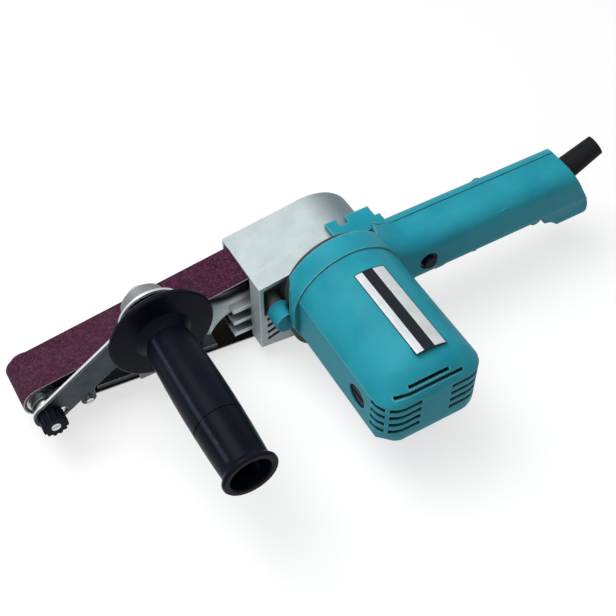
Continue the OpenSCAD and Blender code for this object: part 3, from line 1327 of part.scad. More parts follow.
// Side grip with its hand guard and hollow end
function grip_at(s) = [(grip_d + (grip_waist_d - grip_d) * 4 * s * (1 - s)) / 2, grip_y + s * grip_len];
module side_grip() color("black") lathe_y(hub_x, hub_z) polygon(concat([[stud_d / 2 + fit, link_end
    + control_gap],
    [grip_collar_d * 0.5, link_end + control_gap], [grip_collar_d * 0.5, guard_disc_y - guard_disc_t * 1.6],
    [grip_collar_d * 0.7, guard_disc_y - guard_disc_t], [guard_disc_d / 2 - lip,
        guard_disc_y - guard_disc_t],
    [guard_disc_d / 2, guard_disc_y - guard_disc_t + lip], [guard_disc_d / 2, guard_disc_y - lip],
    [guard_disc_d / 2 - lip, guard_disc_y], [grip_d * 0.62, guard_disc_y + lip],
    [grip_d * 0.5, guard_disc_y + guard_disc_t], [grip_d * 0.44, guard_disc_y + 1.6 * guard_disc_t],
    [grip_d * 0.44, grip_y - lip], [grip_d * 0.5 - lip, grip_y - lip]],
    [for (k = [0:5]) grip_at(groove_share * k / 5)],
    [grip_at(groove_share) + [-grip_groove / 2, grip_groove * 0.2],
    grip_at(groove_share) + [-grip_groove / 2, grip_groove * 0.8]],
    [for (k = [0:4]) grip_at(groove_share + grip_groove / grip_len
        + (1 - groove_share - grip_groove / grip_len) * k / 4)],
    [[grip_end_d / 2 - lip, grip_end_y - grip_rim], [grip_end_d / 2, grip_end_y - grip_rim * 0.7],
    [grip_end_d / 2, grip_end_y - grip_rim * 0.3], [grip_end_d / 2 - lip, grip_end_y],
    [grip_hollow_d / 2 + lip, grip_end_y], [grip_hollow_d / 2, grip_end_y - lip],
    [grip_hollow_d / 2, grip_end_y - grip_hollow], [0, grip_end_y - grip_hollow],
    [0, guard_disc_y + stud_in], [stud_d / 2 + fit, guard_disc_y + stud_in]]));

// Threaded stud of the side grip
module grip_stud() color("silver") rod_y(hub_x, hub_z, stud_d / 2, -guard_disc_y - stud_in, -post_y
    + tray_t + dome_h * 0.7);

place() {
    gear_housing();
    belt_cover();
    motor_housing();
    handle_shell();
    handle_cover();
    sanding_belt();
    shoe_plate();
    shoe_pad();
    link_plate();
    grip_nut();
    bearing_plate();
    field_core();
    field_coils();
    brush_holders();
    carbon_brushes();
    brush_springs();
    brush_caps();
    armature_bearings();
    drive_bearings();
    switch_body();
    cord_guard();
    cord_clamp();
    housing_screws();
    cover_screws();
    handle_screws();
    plate_screw();
    drive_pulley();
    drive_tyre();
    drive_shaft();
    drive_gear();
    pulley_nut();
    armature_shaft();
    armature_core();
    armature_winding();
    commutator();
    cooling_fan();
    tension_yoke();
    idler_axle();
    tension_spring();
    idler_pulley();
    idler_bearings();
    tracking_knob();
    trigger();
    lock_button();
    side_grip();
    grip_stud();
}
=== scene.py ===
# %% [markdown]
# A narrow belt sander in Blender.
# The solids of the tool come ready made from the CAD model, so this lesson is about looks:
# smooth shading, moulded plastic, cast alloy, worn steel and the grit of the belt.
# Sizes here are in millimetres from the axle of the small nose pulley, because the belt,
# the arm and the motor are all set out from that axle.

# %% The frame
import json
import math
import bmesh
import bpy
from mathutils import Matrix, Vector


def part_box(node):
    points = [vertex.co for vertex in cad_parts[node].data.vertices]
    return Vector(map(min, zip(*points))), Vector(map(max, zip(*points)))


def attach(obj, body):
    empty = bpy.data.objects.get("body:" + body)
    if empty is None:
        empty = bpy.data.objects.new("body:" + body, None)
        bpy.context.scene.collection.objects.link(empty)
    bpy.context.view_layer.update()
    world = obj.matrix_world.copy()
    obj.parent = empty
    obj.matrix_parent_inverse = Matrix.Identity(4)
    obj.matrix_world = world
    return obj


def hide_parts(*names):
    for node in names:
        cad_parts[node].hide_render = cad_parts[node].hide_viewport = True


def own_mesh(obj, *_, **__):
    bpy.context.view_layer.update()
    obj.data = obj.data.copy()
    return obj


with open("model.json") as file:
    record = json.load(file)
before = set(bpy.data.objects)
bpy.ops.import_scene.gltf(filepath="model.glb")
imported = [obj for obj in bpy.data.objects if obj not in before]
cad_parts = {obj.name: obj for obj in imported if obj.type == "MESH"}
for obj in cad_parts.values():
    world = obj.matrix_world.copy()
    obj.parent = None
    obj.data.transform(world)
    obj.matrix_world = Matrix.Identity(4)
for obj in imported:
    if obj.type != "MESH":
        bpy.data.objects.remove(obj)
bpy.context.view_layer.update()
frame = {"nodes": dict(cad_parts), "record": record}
nodes = frame["nodes"]
behaviour = frame["record"]["behaviour"]
body_of = {node: body for body, names in behaviour["bodies"].items() for node in names}
MM = 0.001


def centre(node):
    """The middle of a CAD node's box."""
    low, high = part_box(node)
    return (low + high) / 2


nose = centre("idler_pulley")


def at(x, y, z):
    """A point given in millimetres from the nose axle."""
    return nose + Vector((x, y, z)) * MM


print("nodes", len(nodes), "nose axle", [round(c, 4) for c in nose])

# %% [markdown]
# Finishes are shader graphs. Written as node calls they soon become unreadable, so one small
# class stands for a socket and lets plain arithmetic add the Math nodes. Every other node
# comes from its one method, which sets the node's own settings first and its sockets after.


# %% A socket that does sums
class Sock:
    def __init__(self, tree, socket=None):
        self.tree, self.socket = tree, socket

    def add(self, kind, settings=None, sockets=None, out=0):
        node = self.tree.nodes.new(kind)
        for name, given in (settings or {}).items():
            setattr(node, name, given)
        for name, given in (sockets or {}).items():
            entry = node.inputs[name]
            if isinstance(given, Sock):
                self.tree.links.new(given.socket, entry)
            else:
                entry.default_value = given
        return Sock(self.tree, node.outputs[out] if node.outputs else None)

    def sum(self, operation, a, b=0.0):
        return self.add("ShaderNodeMath", {"operation": operation}, {0: a, 1: b})

    def __add__(self, other): return self.sum("ADD", self, other)
    def __radd__(self, other): return self.sum("ADD", other, self)
    def __sub__(self, other): return self.sum("SUBTRACT", self, other)
    def __rsub__(self, other): return self.sum("SUBTRACT", other, self)
    def __mul__(self, other): return self.sum("MULTIPLY", self, other)
    def __rmul__(self, other): return self.sum("MULTIPLY", other, self)
    def __truediv__(self, other): return self.sum("DIVIDE", self, other)
    def __abs__(self): return self.sum("ABSOLUTE", self)
    def __lt__(self, other): return self.sum("LESS_THAN", self, other)

    def either(self, other):
        """The larger of two masks."""
        return self.sum("MAXIMUM", self, other)

    def ease(self, low, high):
        """0 below low, 1 above high and a soft step between."""
        return self.add("ShaderNodeMapRange", {"interpolation_type": "SMOOTHSTEP"},
                        {"Value": self, "From Min": low, "From Max": high})

    def paint(self, a, b):
        """Colour a where this value is 0 and b where it is 1."""
        return self.add("ShaderNodeMix", {"data_type": "RGBA"}, {0: self, 6: a, 7: b}, out=2)


print("sums ready")

# %% [markdown]
# All patterns are laid out in the tool's own space, so that a pattern runs on from piece to
# piece and stays where it is when the camera moves. A finish starts from that space, some
# noise at one or two sizes, and the soft edge that moulding or tumbling leaves on every rim.
# The rim could be bevelled in the mesh, but the shader's own Bevel gives the same soft
# highlight without touching the CAD solid.


# %% Starting a finish
def rgb(r, g, b):
    return (r, g, b, 1.0)


class Finish:
    def __init__(self, name):
        self.material = bpy.data.materials.new(name)
        self.material.use_nodes = True
        tree = self.material.node_tree
        tree.nodes.clear()
        self.pen = Sock(tree)
        self.space = self.pen.add("ShaderNodeTexCoord", out=3)
        self.across = [self.pen.add("ShaderNodeSeparateXYZ", sockets={0: self.space}, out=k)
                       for k in range(3)]

    def mm(self, axis, origin=nose):
        """Millimetres from an origin along the tool's length, width or height (0, 1 or 2)."""
        return (self.across[axis] - origin[axis]) / MM

    def noise(self, size_mm, detail=2.0, rough=0.5, stretch=None):
        space = self.space
        if stretch:
            space = self.pen.add("ShaderNodeMapping", sockets={"Vector": space, "Scale": stretch})
        return self.pen.add("ShaderNodeTexNoise", sockets={
            "Vector": space, "Scale": 1000.0 / size_mm, "Detail": detail, "Roughness": rough})

    def plain(self):
        """The surface normal as the mesh gives it."""
        return self.pen.add("ShaderNodeNewGeometry", out=1)

    def rim(self, radius_mm, full=0.12):
        """The normal with soft rims, and a mask that is 1 on the rims themselves."""
        soft = self.pen.add("ShaderNodeBevel", {"samples": 4}, {"Radius": radius_mm * MM})
        same = self.pen.add("ShaderNodeVectorMath", {"operation": "DOT_PRODUCT"},
                            {0: soft, 1: self.plain()}, out=1)
        return soft, (1.0 - same).ease(0.004, full)

    def painted_crevice_shade(self, reach_mm, full=0.85):
        """Painted shade: 1 deep in corners and gaps, where little light reaches, and 0 in the open.
        """
        open_air = self.pen.add("ShaderNodeAmbientOcclusion", {"samples": 6},
                                {"Distance": reach_mm * MM}, out=1)
        return (1.0 - open_air).ease(0.25, full)

    def bump(self, height, depth_mm, soft):
        return self.pen.add("ShaderNodeBump", sockets={
            "Height": height, "Strength": 1.0, "Distance": depth_mm * MM, "Normal": soft})

    def close(self, sockets):
        shader = self.pen.add("ShaderNodeBsdfPrincipled", sockets=sockets)
        self.pen.add("ShaderNodeOutputMaterial", sockets={"Surface": shader})
        return self.material


print("finish ready")

# %% [markdown]
# The side grip gets a painted highlight: a pale line along two opposite sides, where a glossy
# black cylinder would catch the light. A mask that is 1 near a plane through the handle's axis
# draws both sides at once. It stops short of the guard and the flare.


# %% Painted highlight line on a handle
def grip_highlight_line(f, node, turn_deg):
    """1 on a painted highlight line along a handle that lies across the tool."""
    flare, guard, highlight_half = (6.0, 9.0), (24.0, 18.0), (0.2, 2.2)
    low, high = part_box(node)
    east, width, up = [f.mm(axis, centre(node)) for axis in range(3)]
    turn = math.radians(turn_deg)
    beside = abs(east * math.sin(turn) - up * math.cos(turn))
    half = (high.y - low.y) / 2 / MM
    past_flare = width.ease(*[clear - half for clear in flare])
    past_guard = width.ease(*[half - clear for clear in guard])
    return (1.0 - beside.ease(*highlight_half)) * (past_flare * (1.0 - past_guard))


print("ridge ready for", [round(c / MM, 1) for c in centre("side_grip") - nose])

# %% [markdown]
# Moulded plastic. The real housing is glass-filled nylon from a spark-eroded mould: a fine
# grain that breaks up the highlight, a cloudy change of tone where the melt flowed, and paler,
# smoother rims, partly rubbed by handling and on the teal motor partly a painted highlight along
# its creases. The slots and deep corners get painted shade, and a dark line runs where the two
# halves of the housing meet.


# %% Moulded plastic
def moulded(name, deep, pale, rim_tone, rough, grain_mm, grain_depth, rim_mm, shine=0.18, rim_strength=0.5,
            rim_full=0.12, rub_and_sheen_to_mm=None, slot_shade_mm=None, seam_mm=None, highlight_line=None):
    f = Finish(name)
    soft, worn = f.rim(rim_mm, rim_full)
    # the pale rims, wear and painted highlight alike, stop short of the handle
    if rub_and_sheen_to_mm:
        worn = worn * (1.0 - (f.mm(0) - rub_and_sheen_to_mm).ease(-4.0, 4.0))
    cloud = f.noise(26.0, 3.0).ease(0.3, 0.7)
    grain = f.noise(grain_mm, 2.0, 0.6)
    scuffs = f.noise(3.0, 4.0, 0.7).ease(0.52, 0.78)
    tone = cloud.paint(rgb(*deep), rgb(*pale))
    # rims painted paler as wear from handling; on the teal motor they are also a painted highlight
    # along the creases
    tone = (worn * (0.5 * rim_strength + rim_strength * scuffs)).paint(tone, rgb(*rim_tone))
    slot_shade_and_seam_dark = rgb(*[0.05 * c for c in deep])
    # painted shade: slots and deep corners are painted nearly black
    if slot_shade_mm:
        tone = (0.97 * f.painted_crevice_shade(slot_shade_mm, 0.62)).paint(tone, slot_shade_and_seam_dark)
    if seam_mm:
        parting = 1.0 - abs(f.mm(1) + seam_mm).ease(0.25, 0.55)
        tone = (0.9 * parting).paint(tone, slot_shade_and_seam_dark)
    # painted highlight along the grip, broken up by the scuffs
    if highlight_line:
        highlight_tone = rgb(0.120, 0.140, 0.185)
        line = grip_highlight_line(f, *highlight_line)
        tone = (line * (0.20 + 0.55 * scuffs)).paint(tone, highlight_tone)
    return f.close({
        "Base Color": tone, "Specular IOR Level": shine,
        "Roughness": rough + 0.10 * (grain - 0.5) + 0.06 * cloud - 0.08 * worn,
        "Normal": f.bump(grain, grain_depth, soft)})


part_line = 31.5
# teal rims take the pale tone even on shallow creases, as a painted highlight line
teal = moulded("teal_plastic", (0.017, 0.325, 0.425), (0.032, 0.395, 0.505), (0.260, 0.740, 0.810),
               rough=0.42, grain_mm=0.7, grain_depth=0.035, rim_mm=1.4, shine=0.12, rim_strength=1.1,
               rim_full=0.013, rub_and_sheen_to_mm=236.0, slot_shade_mm=6.0, seam_mm=part_line)
black = moulded("black_plastic", (0.0036, 0.0048, 0.0105), (0.0056, 0.0072, 0.0150),
                (0.022, 0.025, 0.036), rough=0.33, grain_mm=0.9, grain_depth=0.03, rim_mm=0.8,
                shine=0.05, highlight_line=("side_grip", 131.5))
print("plastics", teal.name, black.name)

# %% [markdown]
# Rubber. The cord guard and the tyre of the drive wheel are duller than the plastic and show
# a mould bloom: a faint grey film that lies in patches.


# %% Rubber
def rubber(name):
    f = Finish(name)
    soft, worn = f.rim(0.7)
    bloom = f.noise(14.0, 4.0, 0.65).ease(0.45, 0.75)
    pores = f.noise(0.5, 2.0)
    tone = (0.5 * bloom + 0.5 * worn).paint(rgb(0.0050, 0.0054, 0.0070), rgb(0.018, 0.019, 0.022))
    return f.close({
        "Base Color": tone, "Specular IOR Level": 0.12, "Roughness": 0.62 + 0.12 * bloom,
        "Normal": f.bump(pores, 0.03, soft)})


dull_rubber = rubber("black_rubber")
print("rubber", dull_rubber.name)

# %% [markdown]
# Cast alloy. The belt cover and the gear housing are die castings, blasted and left pale: a
# fine sparkle, a slightly wavy skin, darker dust in the small pits and bright rims where the
# flash was trimmed. It is only partly metallic to the eye, so Metallic stays below one.
# The tone differs along the tool. The open arm is painted pale, partly for its polish and partly
# as a painted sheen; its tip is grey with sanding dust; the rear of the cover gets painted shade;
# and corners, gaps and the faces by the belt and under the bell are painted black as shade.


# %% Cast alloy
def cast(name):
    arm_x, tip_x, rear_shade_x, web_x = (135.0, 142.0), (98.0, 108.0), (196.0, 226.0), (150.0, 154.0)
    f = Finish(name)
    soft, worn = f.rim(0.8)
    sparkle = f.noise(0.6, 3.0, 0.7)
    wave = f.noise(16.0, 2.0)
    pits = f.noise(1.6, 3.0, 0.6).ease(0.60, 0.74)
    along, aside, up = [f.mm(axis) for axis in range(3)]
    arm, tip = 1.0 - along.ease(*arm_x), 1.0 - along.ease(*tip_x)
    tone = wave.ease(0.3, 0.7).paint(rgb(0.480, 0.555, 0.565), rgb(0.545, 0.620, 0.625))
    tone = (0.55 * pits).paint(tone, rgb(0.270, 0.320, 0.335))
    # painted sheen: the open arm is painted pale, partly for its polish and partly for the light it
    # catches
    tone = (0.9 * arm).paint(tone, rgb(0.860, 0.925, 0.935))
    tone = (0.95 * worn).paint(tone, rgb(0.900, 0.940, 0.940))
    tone = (tip * (0.70 + 0.25 * wave)).paint(tone, rgb(0.115, 0.125, 0.132))
    # painted shade: the rear arc of the cover is painted darker
    tone = (0.88 * along.ease(*rear_shade_x)).paint(tone, rgb(0.110, 0.180, 0.205))
    # painted shade in corners and gaps
    tone = (0.90 * f.painted_crevice_shade(18.0)).paint(tone, rgb(0.040, 0.046, 0.050))
    # painted shade: the faces by the belt, under the bell and on the web are painted black
    by_belt, under_bell = arm * aside.ease(-11.0, -7.0), 1.0 - aside.ease(-37.0, -33.0)
    web = (1.0 - along.ease(*web_x)) * aside.ease(-10.0, -7.0)
    web = web * (1.0 - aside.ease(12.0, 14.0)) * (1.0 - up.ease(13.0, 16.0))
    shade_painted_black = by_belt.either(under_bell).either(web)
    tone = (0.93 * shade_painted_black).paint(tone, rgb(0.012, 0.014, 0.016))
    return f.close({
        "Base Color": tone, "Metallic": 0.30 + 0.25 * worn, "Specular IOR Level": 0.25,
        "Roughness": 0.40 + 0.16 * sparkle + 0.15 * pits - 0.12 * worn,
        "Normal": f.bump(sparkle + 2.0 * wave, 0.05, soft)})


alloy = cast("cast_metal")
print("alloy", alloy.name)

# %% [markdown]
# Steel. Drawn bar and rolled strip keep the marks of the die and the rolls: very long thin
# scratches. Noise that is stretched along one axis makes them: along the width of the tool for
# axles and studs, which come from bar, and along its length for plates, which come from strip.
# The sheared edge of a plate can be bright on one half of its thickness, with painted shade on the
# other.


# %% Steel
def steel(name, dark, light, rough, stretch, rim_mm, shade_until=None):
    f = Finish(name)
    soft, worn = f.rim(rim_mm)
    lines = f.noise(1.2, 3.0, 0.7, stretch)
    stain = f.noise(9.0, 3.0, 0.6).ease(0.4, 0.8)
    tone = (0.7 * lines + 0.3 * (1.0 - stain)).paint(rgb(*dark), rgb(*light))
    tone = (0.7 * worn).paint(tone, rgb(0.72, 0.73, 0.74))
    if shade_until is not None:
        # painted shade: the near part of the edge is painted black
        edge_shade = 1.0 - ((f.across[1] - shade_until) / MM).ease(-0.2, 0.2)
        tone = (0.95 * edge_shade).paint(tone, rgb(0.020, 0.024, 0.028))
    return f.close({
        "Base Color": tone, "Metallic": 1.0,
        "Roughness": rough + 0.14 * lines + 0.10 * stain - 0.10 * worn,
        "Normal": f.bump(lines, 0.012, soft)})


drawn, rolled = (1.0, 0.06, 1.0), (0.06, 1.0, 1.0)
link_low, link_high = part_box("link_plate")
bright_steel = steel("bright_steel", (0.42, 0.43, 0.44), (0.66, 0.67, 0.68), 0.24, drawn, 0.35)
dark_steel = steel("dark_steel", (0.024, 0.030, 0.036), (0.062, 0.074, 0.083), 0.38, rolled, 0.45)
# the link plate's edge: bright, with painted shade on its near part
polished = steel("polished_edge", (0.44, 0.46, 0.47), (0.62, 0.64, 0.65), 0.42, rolled, 0.3,
                 shade_until=0.55 * link_low.y + 0.45 * link_high.y)
brass = steel("brass", (0.42, 0.27, 0.085), (0.62, 0.43, 0.16), 0.28, drawn, 0.3)
print("steels", bright_steel.name, dark_steel.name, polished.name, brass.name)

# %% [markdown]
# Inside the motor. The core is a stack of half-millimetre sheets, so its dark oxide skin is
# striped across the stack. The coils are lacquered copper wire, striped along the turns. The
# brushes are pressed carbon, almost black with a grey sheen.


# %% Motor insides
def striped(name, axis, pitch_mm, low, high, metallic, rough):
    f = Finish(name)
    soft = f.rim(0.4)[0]
    wave = f.pen.sum("SINE", f.across[axis] * (2.0 * math.pi / (pitch_mm * MM)))
    line = (0.5 + 0.5 * wave).ease(0.1, 0.9)
    dirt = f.noise(5.0, 3.0).ease(0.35, 0.75)
    tone = line.paint(rgb(*low), rgb(*high))
    tone = (0.35 * dirt).paint(tone, rgb(*[0.4 * c for c in low]))
    return f.close({
        "Base Color": tone, "Metallic": metallic, "Roughness": rough + 0.15 * dirt,
        "Normal": f.bump(line, 0.06, soft)})


lamination = striped("lamination", axis=1, pitch_mm=0.5, low=(0.060, 0.062, 0.070),
                     high=(0.130, 0.132, 0.140), metallic=0.8, rough=0.45)
winding = striped("winding", axis=0, pitch_mm=0.7, low=(0.180, 0.045, 0.012),
                  high=(0.420, 0.130, 0.040), metallic=0.6, rough=0.30)
graphite = moulded("graphite", (0.020, 0.020, 0.022), (0.035, 0.035, 0.037), (0.110, 0.110, 0.115),
                   rough=0.42, grain_mm=0.35, grain_depth=0.03, rim_mm=0.3)
print("insides", lamination.name, winding.name, graphite.name)

# %% [markdown]
# The sanding belt is cloth with grit on its outer face. Three looks meet on one thin loop:
# maroon grit outside, dark cloth inside and a pale cut edge. The grit is clumps of grain with
# a few bright glints; the cloth is two crossed waves, one for each set of threads.


# %% Belt finishes
def grit(name):
    f = Finish(name)
    grain = f.noise(1.5, 3.0, 0.75)
    clumps = f.noise(3.2, 3.0, 0.65).ease(0.38, 0.64)
    glint = f.noise(1.1, 1.0).ease(0.60, 0.72)
    worn = f.noise(40.0, 2.0, 0.5, (0.25, 1.6, 0.25)).ease(0.45, 0.75)
    tone = clumps.paint(rgb(0.050, 0.0105, 0.0310), rgb(0.102, 0.0230, 0.0600))
    tone = (0.85 * grain.ease(0.50, 0.66)).paint(tone, rgb(0.022, 0.0065, 0.0150))
    tone = (0.50 * glint).paint(tone, rgb(0.210, 0.100, 0.170))
    tone = (0.12 * worn).paint(tone, rgb(0.160, 0.085, 0.100))
    return f.close({
        "Base Color": tone, "Specular IOR Level": 0.12, "Roughness": 0.78 - 0.25 * glint,
        "Normal": f.bump(grain, 0.16, f.plain())})


def weave(name, low, high, thread_mm=0.9):
    f = Finish(name)
    turns = 2.0 * math.pi / (thread_mm * MM)
    warp = f.pen.sum("SINE", f.across[0] * turns)
    weft = f.pen.sum("SINE", f.across[1] * turns)
    cross = (0.5 + 0.5 * (warp * weft)).ease(0.1, 0.9)
    size = f.noise(7.0, 3.0)
    tone = (0.6 * cross + 0.4 * size).paint(rgb(*low), rgb(*high))
    return f.close({
        "Base Color": tone, "Specular IOR Level": 0.12, "Roughness": 0.82 + 0.08 * size,
        "Normal": f.bump(cross, 0.12, f.plain())})


belt_grit = grit("abrasive_cloth")
belt_cloth = weave("belt_cloth", (0.010, 0.0060, 0.0062), (0.022, 0.0140, 0.0140))
belt_edge = weave("belt_edge", (0.84, 0.70, 0.73), (0.98, 0.90, 0.92))
print("belt", belt_grit.name, belt_cloth.name, belt_edge.name)

# %% [markdown]
# Two steps come back for the meshes that are made here. A mesh is shaded smooth except across
# real corners, and it becomes an object at the origin with its place in its mesh, as the CAD
# nodes have it. Round pieces differ in how coarse they are, so the limit is a function of place.


# %% From a bmesh to a piece
def soften(shape, corner):
    """Smooth shading, with sharp edges where the corner is steeper than its limit in degrees."""
    for face in shape.faces:
        face.smooth = True
    for edge in shape.edges:
        limit = math.radians(corner((edge.verts[0].co + edge.verts[1].co) / 2))
        edge.smooth = len(edge.link_faces) == 2 and edge.calc_face_angle() < limit


def add_piece(shape, name):
    """Turns a bmesh into an object of the scene and frees it."""
    mesh = bpy.data.meshes.new(name)
    shape.to_mesh(mesh)
    shape.free()
    piece = bpy.data.objects.new(name, mesh)
    bpy.context.scene.collection.objects.link(piece)
    return piece


def common_corner(place):
    """The limit in degrees for most pieces."""
    return 32.0


def barrel_corner(place):
    """The motor's barrel keeps its shallow crease, and its rounded end is smooth."""
    return 16.0 if place.y > nose.y - 128.0 * MM else 40.0


print("corners", common_corner(nose), barrel_corner(nose))

# %% [markdown]
# Every CAD node takes the finish of its material slot in the record. A CAD mesh is loose
# triangles, so a curved wall would show its facets. A merged copy that is shaded smooth
# stands for each node and leaves the solid itself alone.

# %% Dressing the solids
by_slot = {"teal_plastic": teal, "black_plastic": black, "black_rubber": dull_rubber,
           "cast_metal": alloy, "bright_steel": bright_steel, "dark_steel": dark_steel,
           "abrasive_cloth": belt_grit, "graphite": graphite, "lamination": lamination,
           "winding": winding, "brass": brass}
slot_of = {part["node"]: part["material_slot"] for part in frame["record"]["subparts"]}


def merged(name, corner):
    """A merged, smooth copy of a CAD node that rides where the node rides and stands for it."""
    same_place, no_length = 2e-6, 1e-6
    shape = bmesh.new()
    shape.from_mesh(nodes[name].data)
    bmesh.ops.remove_doubles(shape, verts=shape.verts, dist=same_place)
    bmesh.ops.dissolve_degenerate(shape, edges=shape.edges, dist=no_length)
    soften(shape, corner)
    piece = add_piece(shape, name + "_skin")
    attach(piece, body_of[name])
    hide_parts(name)
    piece.data.materials.clear()
    piece.data.materials.append(by_slot[slot_of[name]])
    return piece


skins = {name: merged(name, barrel_corner if name == "motor_housing" else common_corner)
         for name in sorted(nodes)}
print("skins", len(skins), "faces", sum(len(s.data.polygons) for s in skins.values()))

# %% [markdown]
# Now the belt gets its three looks, face by face. Which face is which follows from the mesh:
# the two edges face along the tool's width. The loop's middle lies well inside the flat loop,
# so a face that points away from it is on the grit side.

# %% Three sides of the belt
belt = skins["sanding_belt"].data
belt.materials.append(belt_cloth)
belt.materials.append(belt_edge)
belt_middle = centre("sanding_belt")
grit_side, cloth_side, edge_side = range(3)
for face in belt.polygons:
    outward = face.normal.dot(face.center - belt_middle)
    if abs(face.normal.y) > 0.7:
        face.material_index = edge_side
    else:
        face.material_index = grit_side if outward > 0 else cloth_side
print("belt faces", [sum(f.material_index == k for f in belt.polygons) for k in range(3)])

# %% [markdown]
# The tension spring stands between the yoke of the nose and the gear housing. When the nose is
# pushed back, the spring gets shorter by the stroke. A moving copy of the coil would run into
# the housing. Here the skin only gets a mesh of its own; its seat at the front end, which sits on
# the yoke, and the share it would keep are worked out but not used.

# %% Spring with a mesh of its own
spring_low, spring_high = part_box("tension_spring")
stroke = next(j["range_m"][1] for j in behaviour["joints"] if j["name"] == "belt_tension")
spring_length = spring_high.x - spring_low.x
spring_seat = (spring_low.x, *centre("tension_spring").yz)
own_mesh(skins["tension_spring"], "belt_tension", axis=(1, 0, 0), anchor=spring_seat,
          keep=1.0 - stroke / spring_length)
print("spring", round(spring_length / MM, 1), "stroke", round(stroke / MM, 1))

# %% [markdown]
# The link plate is blanked from strip, and its sheared edge is left bright while its faces are
# blackened. Part of that edge is left shiny; the near part gets painted shade, as dark as the
# blacking. Faces that don't look along the tool's width belong to the edge.

# %% Bright edge of the link plate, its near part in painted shade
link = skins["link_plate"].data
link.materials.append(polished)
for face in link.polygons:
    face.material_index = 1 if abs(face.normal.y) < 0.5 else 0
print("edge faces", sum(face.material_index for face in link.polygons), "of", len(link.polygons))

# %% [markdown]
# Where the handle grows out of the motor bell the moulding shows no corner: the handle's top
# swells up and runs into the round bell. A fillet across two half shells is awkward in the
# CAD solids, so the swell is laid over them as one lofted piece. First its two ends: a fillet
# arc that touches both the bell and the flat top of the handle starts and stops there.

# %% Ends of the swell
motor_axle = centre("armature_core")
axle_x, axle_z = (motor_axle.x - nose.x) / MM, (motor_axle.z - nose.z) / MM
bell_radius, swell_radius = 39.2, 34.0
handle_top = (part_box("handle_shell")[1].z - nose.z) / MM
reach = bell_radius + swell_radius
rise = handle_top + swell_radius - axle_z
swell_end = axle_x + math.sqrt(reach * reach - rise * rise)
swell_start = axle_x + (swell_end - axle_x) * bell_radius / reach
print("swell from", round(swell_start, 1), "to", round(swell_end, 1))

# %% [markdown]
# Each section of the swell is the handle's own rounded shoulder, lifted by the arc of the
# fillet. Its foot is sunk a little into the handle, so that no gap shows. On the far side it
# starts at the bell's rim and soon draws in to the tab of the other half shell, then to the
# line where the two halves meet.

# %% Sections of the swell
shoulder, handle_near, bell_rim = 12.0, 55.95, 42.7
tab_near, tab_end, draw_in = 30.0, 229.0, 5.0
top_sink, foot_sink, arc_steps = 0.05, 0.5, 8


def swell_section(shape, x):
    """One closed section of the swell across the tool at x."""
    drop = swell_end - x
    top = handle_top + swell_radius - math.sqrt(swell_radius * swell_radius - drop * drop) - top_sink
    edge = tab_near if x < tab_end else part_line
    far = -max(edge, bell_rim - (bell_rim - edge) * (x - swell_start) / draw_in)
    rows = [(far, handle_top - 1.0), (far, top)]
    for k in range(arc_steps + 1):
        turn = math.radians(90.0 * k / arc_steps)
        rows.append((shoulder - handle_near - shoulder * math.sin(turn),
                     top - shoulder + shoulder * math.cos(turn)))
    rows.append((top_sink - handle_near, handle_top - shoulder - foot_sink))
    ring = [shape.verts.new(at(x, y, z)) for y, z in rows]
    return [shape.edges.new(pair) for pair in zip(ring, ring[1:] + ring[:1])]


swell = bmesh.new()
bays = 20
loops = [swell_section(swell, swell_start + (swell_end - swell_start) * k / bays)
         for k in range(bays + 1)]
print("sections", len(loops), "of", len(loops[0]), "edges")

# %% [markdown]
# The sections are bridged one to the next and both ends are filled, which gives a closed piece.
# It is the same plastic as the housing and moves with it.

# %% Swell between the bell and the handle
for first, second in zip(loops, loops[1:]):
    bmesh.ops.bridge_loops(swell, edges=first + second)
for loop in (loops[0], loops[-1]):
    bmesh.ops.edgeloop_fill(swell, edges=loop)
bmesh.ops.recalc_face_normals(swell, faces=swell.faces)
soften(swell, common_corner)
swell_piece = add_piece(swell, "handle_swell")
swell_piece.data.materials.append(teal)
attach(swell_piece, "tool")
print("swell faces", len(swell_piece.data.polygons))

# %% [markdown]
# The rating plate is a thin foil on the crown of the motor. It is left bare: two pale brushed
# bands beside a dark one, inside a thin dark border. The bands could be separate strips, but
# as parts of one finish they stay flush.

# %% Finish of the bare plate
plate_start, plate_end = 73.0, 139.5
plate_middle, plate_half = (plate_start + plate_end) / 2, (plate_end - plate_start) / 2
dark_middle, dark_half = 2.2, 3.6
side_middle, side_border, end_border, border_soft = 3.5, 10.0, plate_half - 0.45, 0.3


def plate_finish():
    f = Finish("bare_plate")
    side, along = f.mm(0, motor_axle), f.mm(1)
    dark = abs(side - dark_middle) < dark_half
    brushed = f.noise(1.0, 3.0, 0.7, (1.0, 0.05, 1.0))
    age = f.noise(12.0, 3.0).ease(0.4, 0.75)
    pale = brushed.paint(rgb(0.66, 0.71, 0.72), rgb(0.80, 0.83, 0.83))
    pale = (0.25 * age).paint(pale, rgb(0.36, 0.40, 0.41))
    tone = dark.paint(pale, rgb(0.010, 0.012, 0.019))
    at_ends = abs(along + plate_middle).ease(end_border - border_soft, end_border)
    at_sides = abs(side - side_middle).ease(side_border - border_soft, side_border)
    tone = at_ends.either(at_sides).paint(tone, rgb(0.010, 0.014, 0.020))
    return f.close({
        "Base Color": tone, "Specular IOR Level": 0.15, "Metallic": 0.25 - 0.25 * dark,
        "Roughness": 0.36 + 0.18 * brushed, "Normal": f.bump(brushed, 0.01, f.plain())})


bare_plate = plate_finish()
print("plate finish", bare_plate.name)

# %% [markdown]
# The crown is part of a cylinder, so one straight edge spun a few degrees about the motor axis
# gives a foil that lies exactly on it. The edge is cut into short lengths first, so that the
# faces of the foil are nearly square.

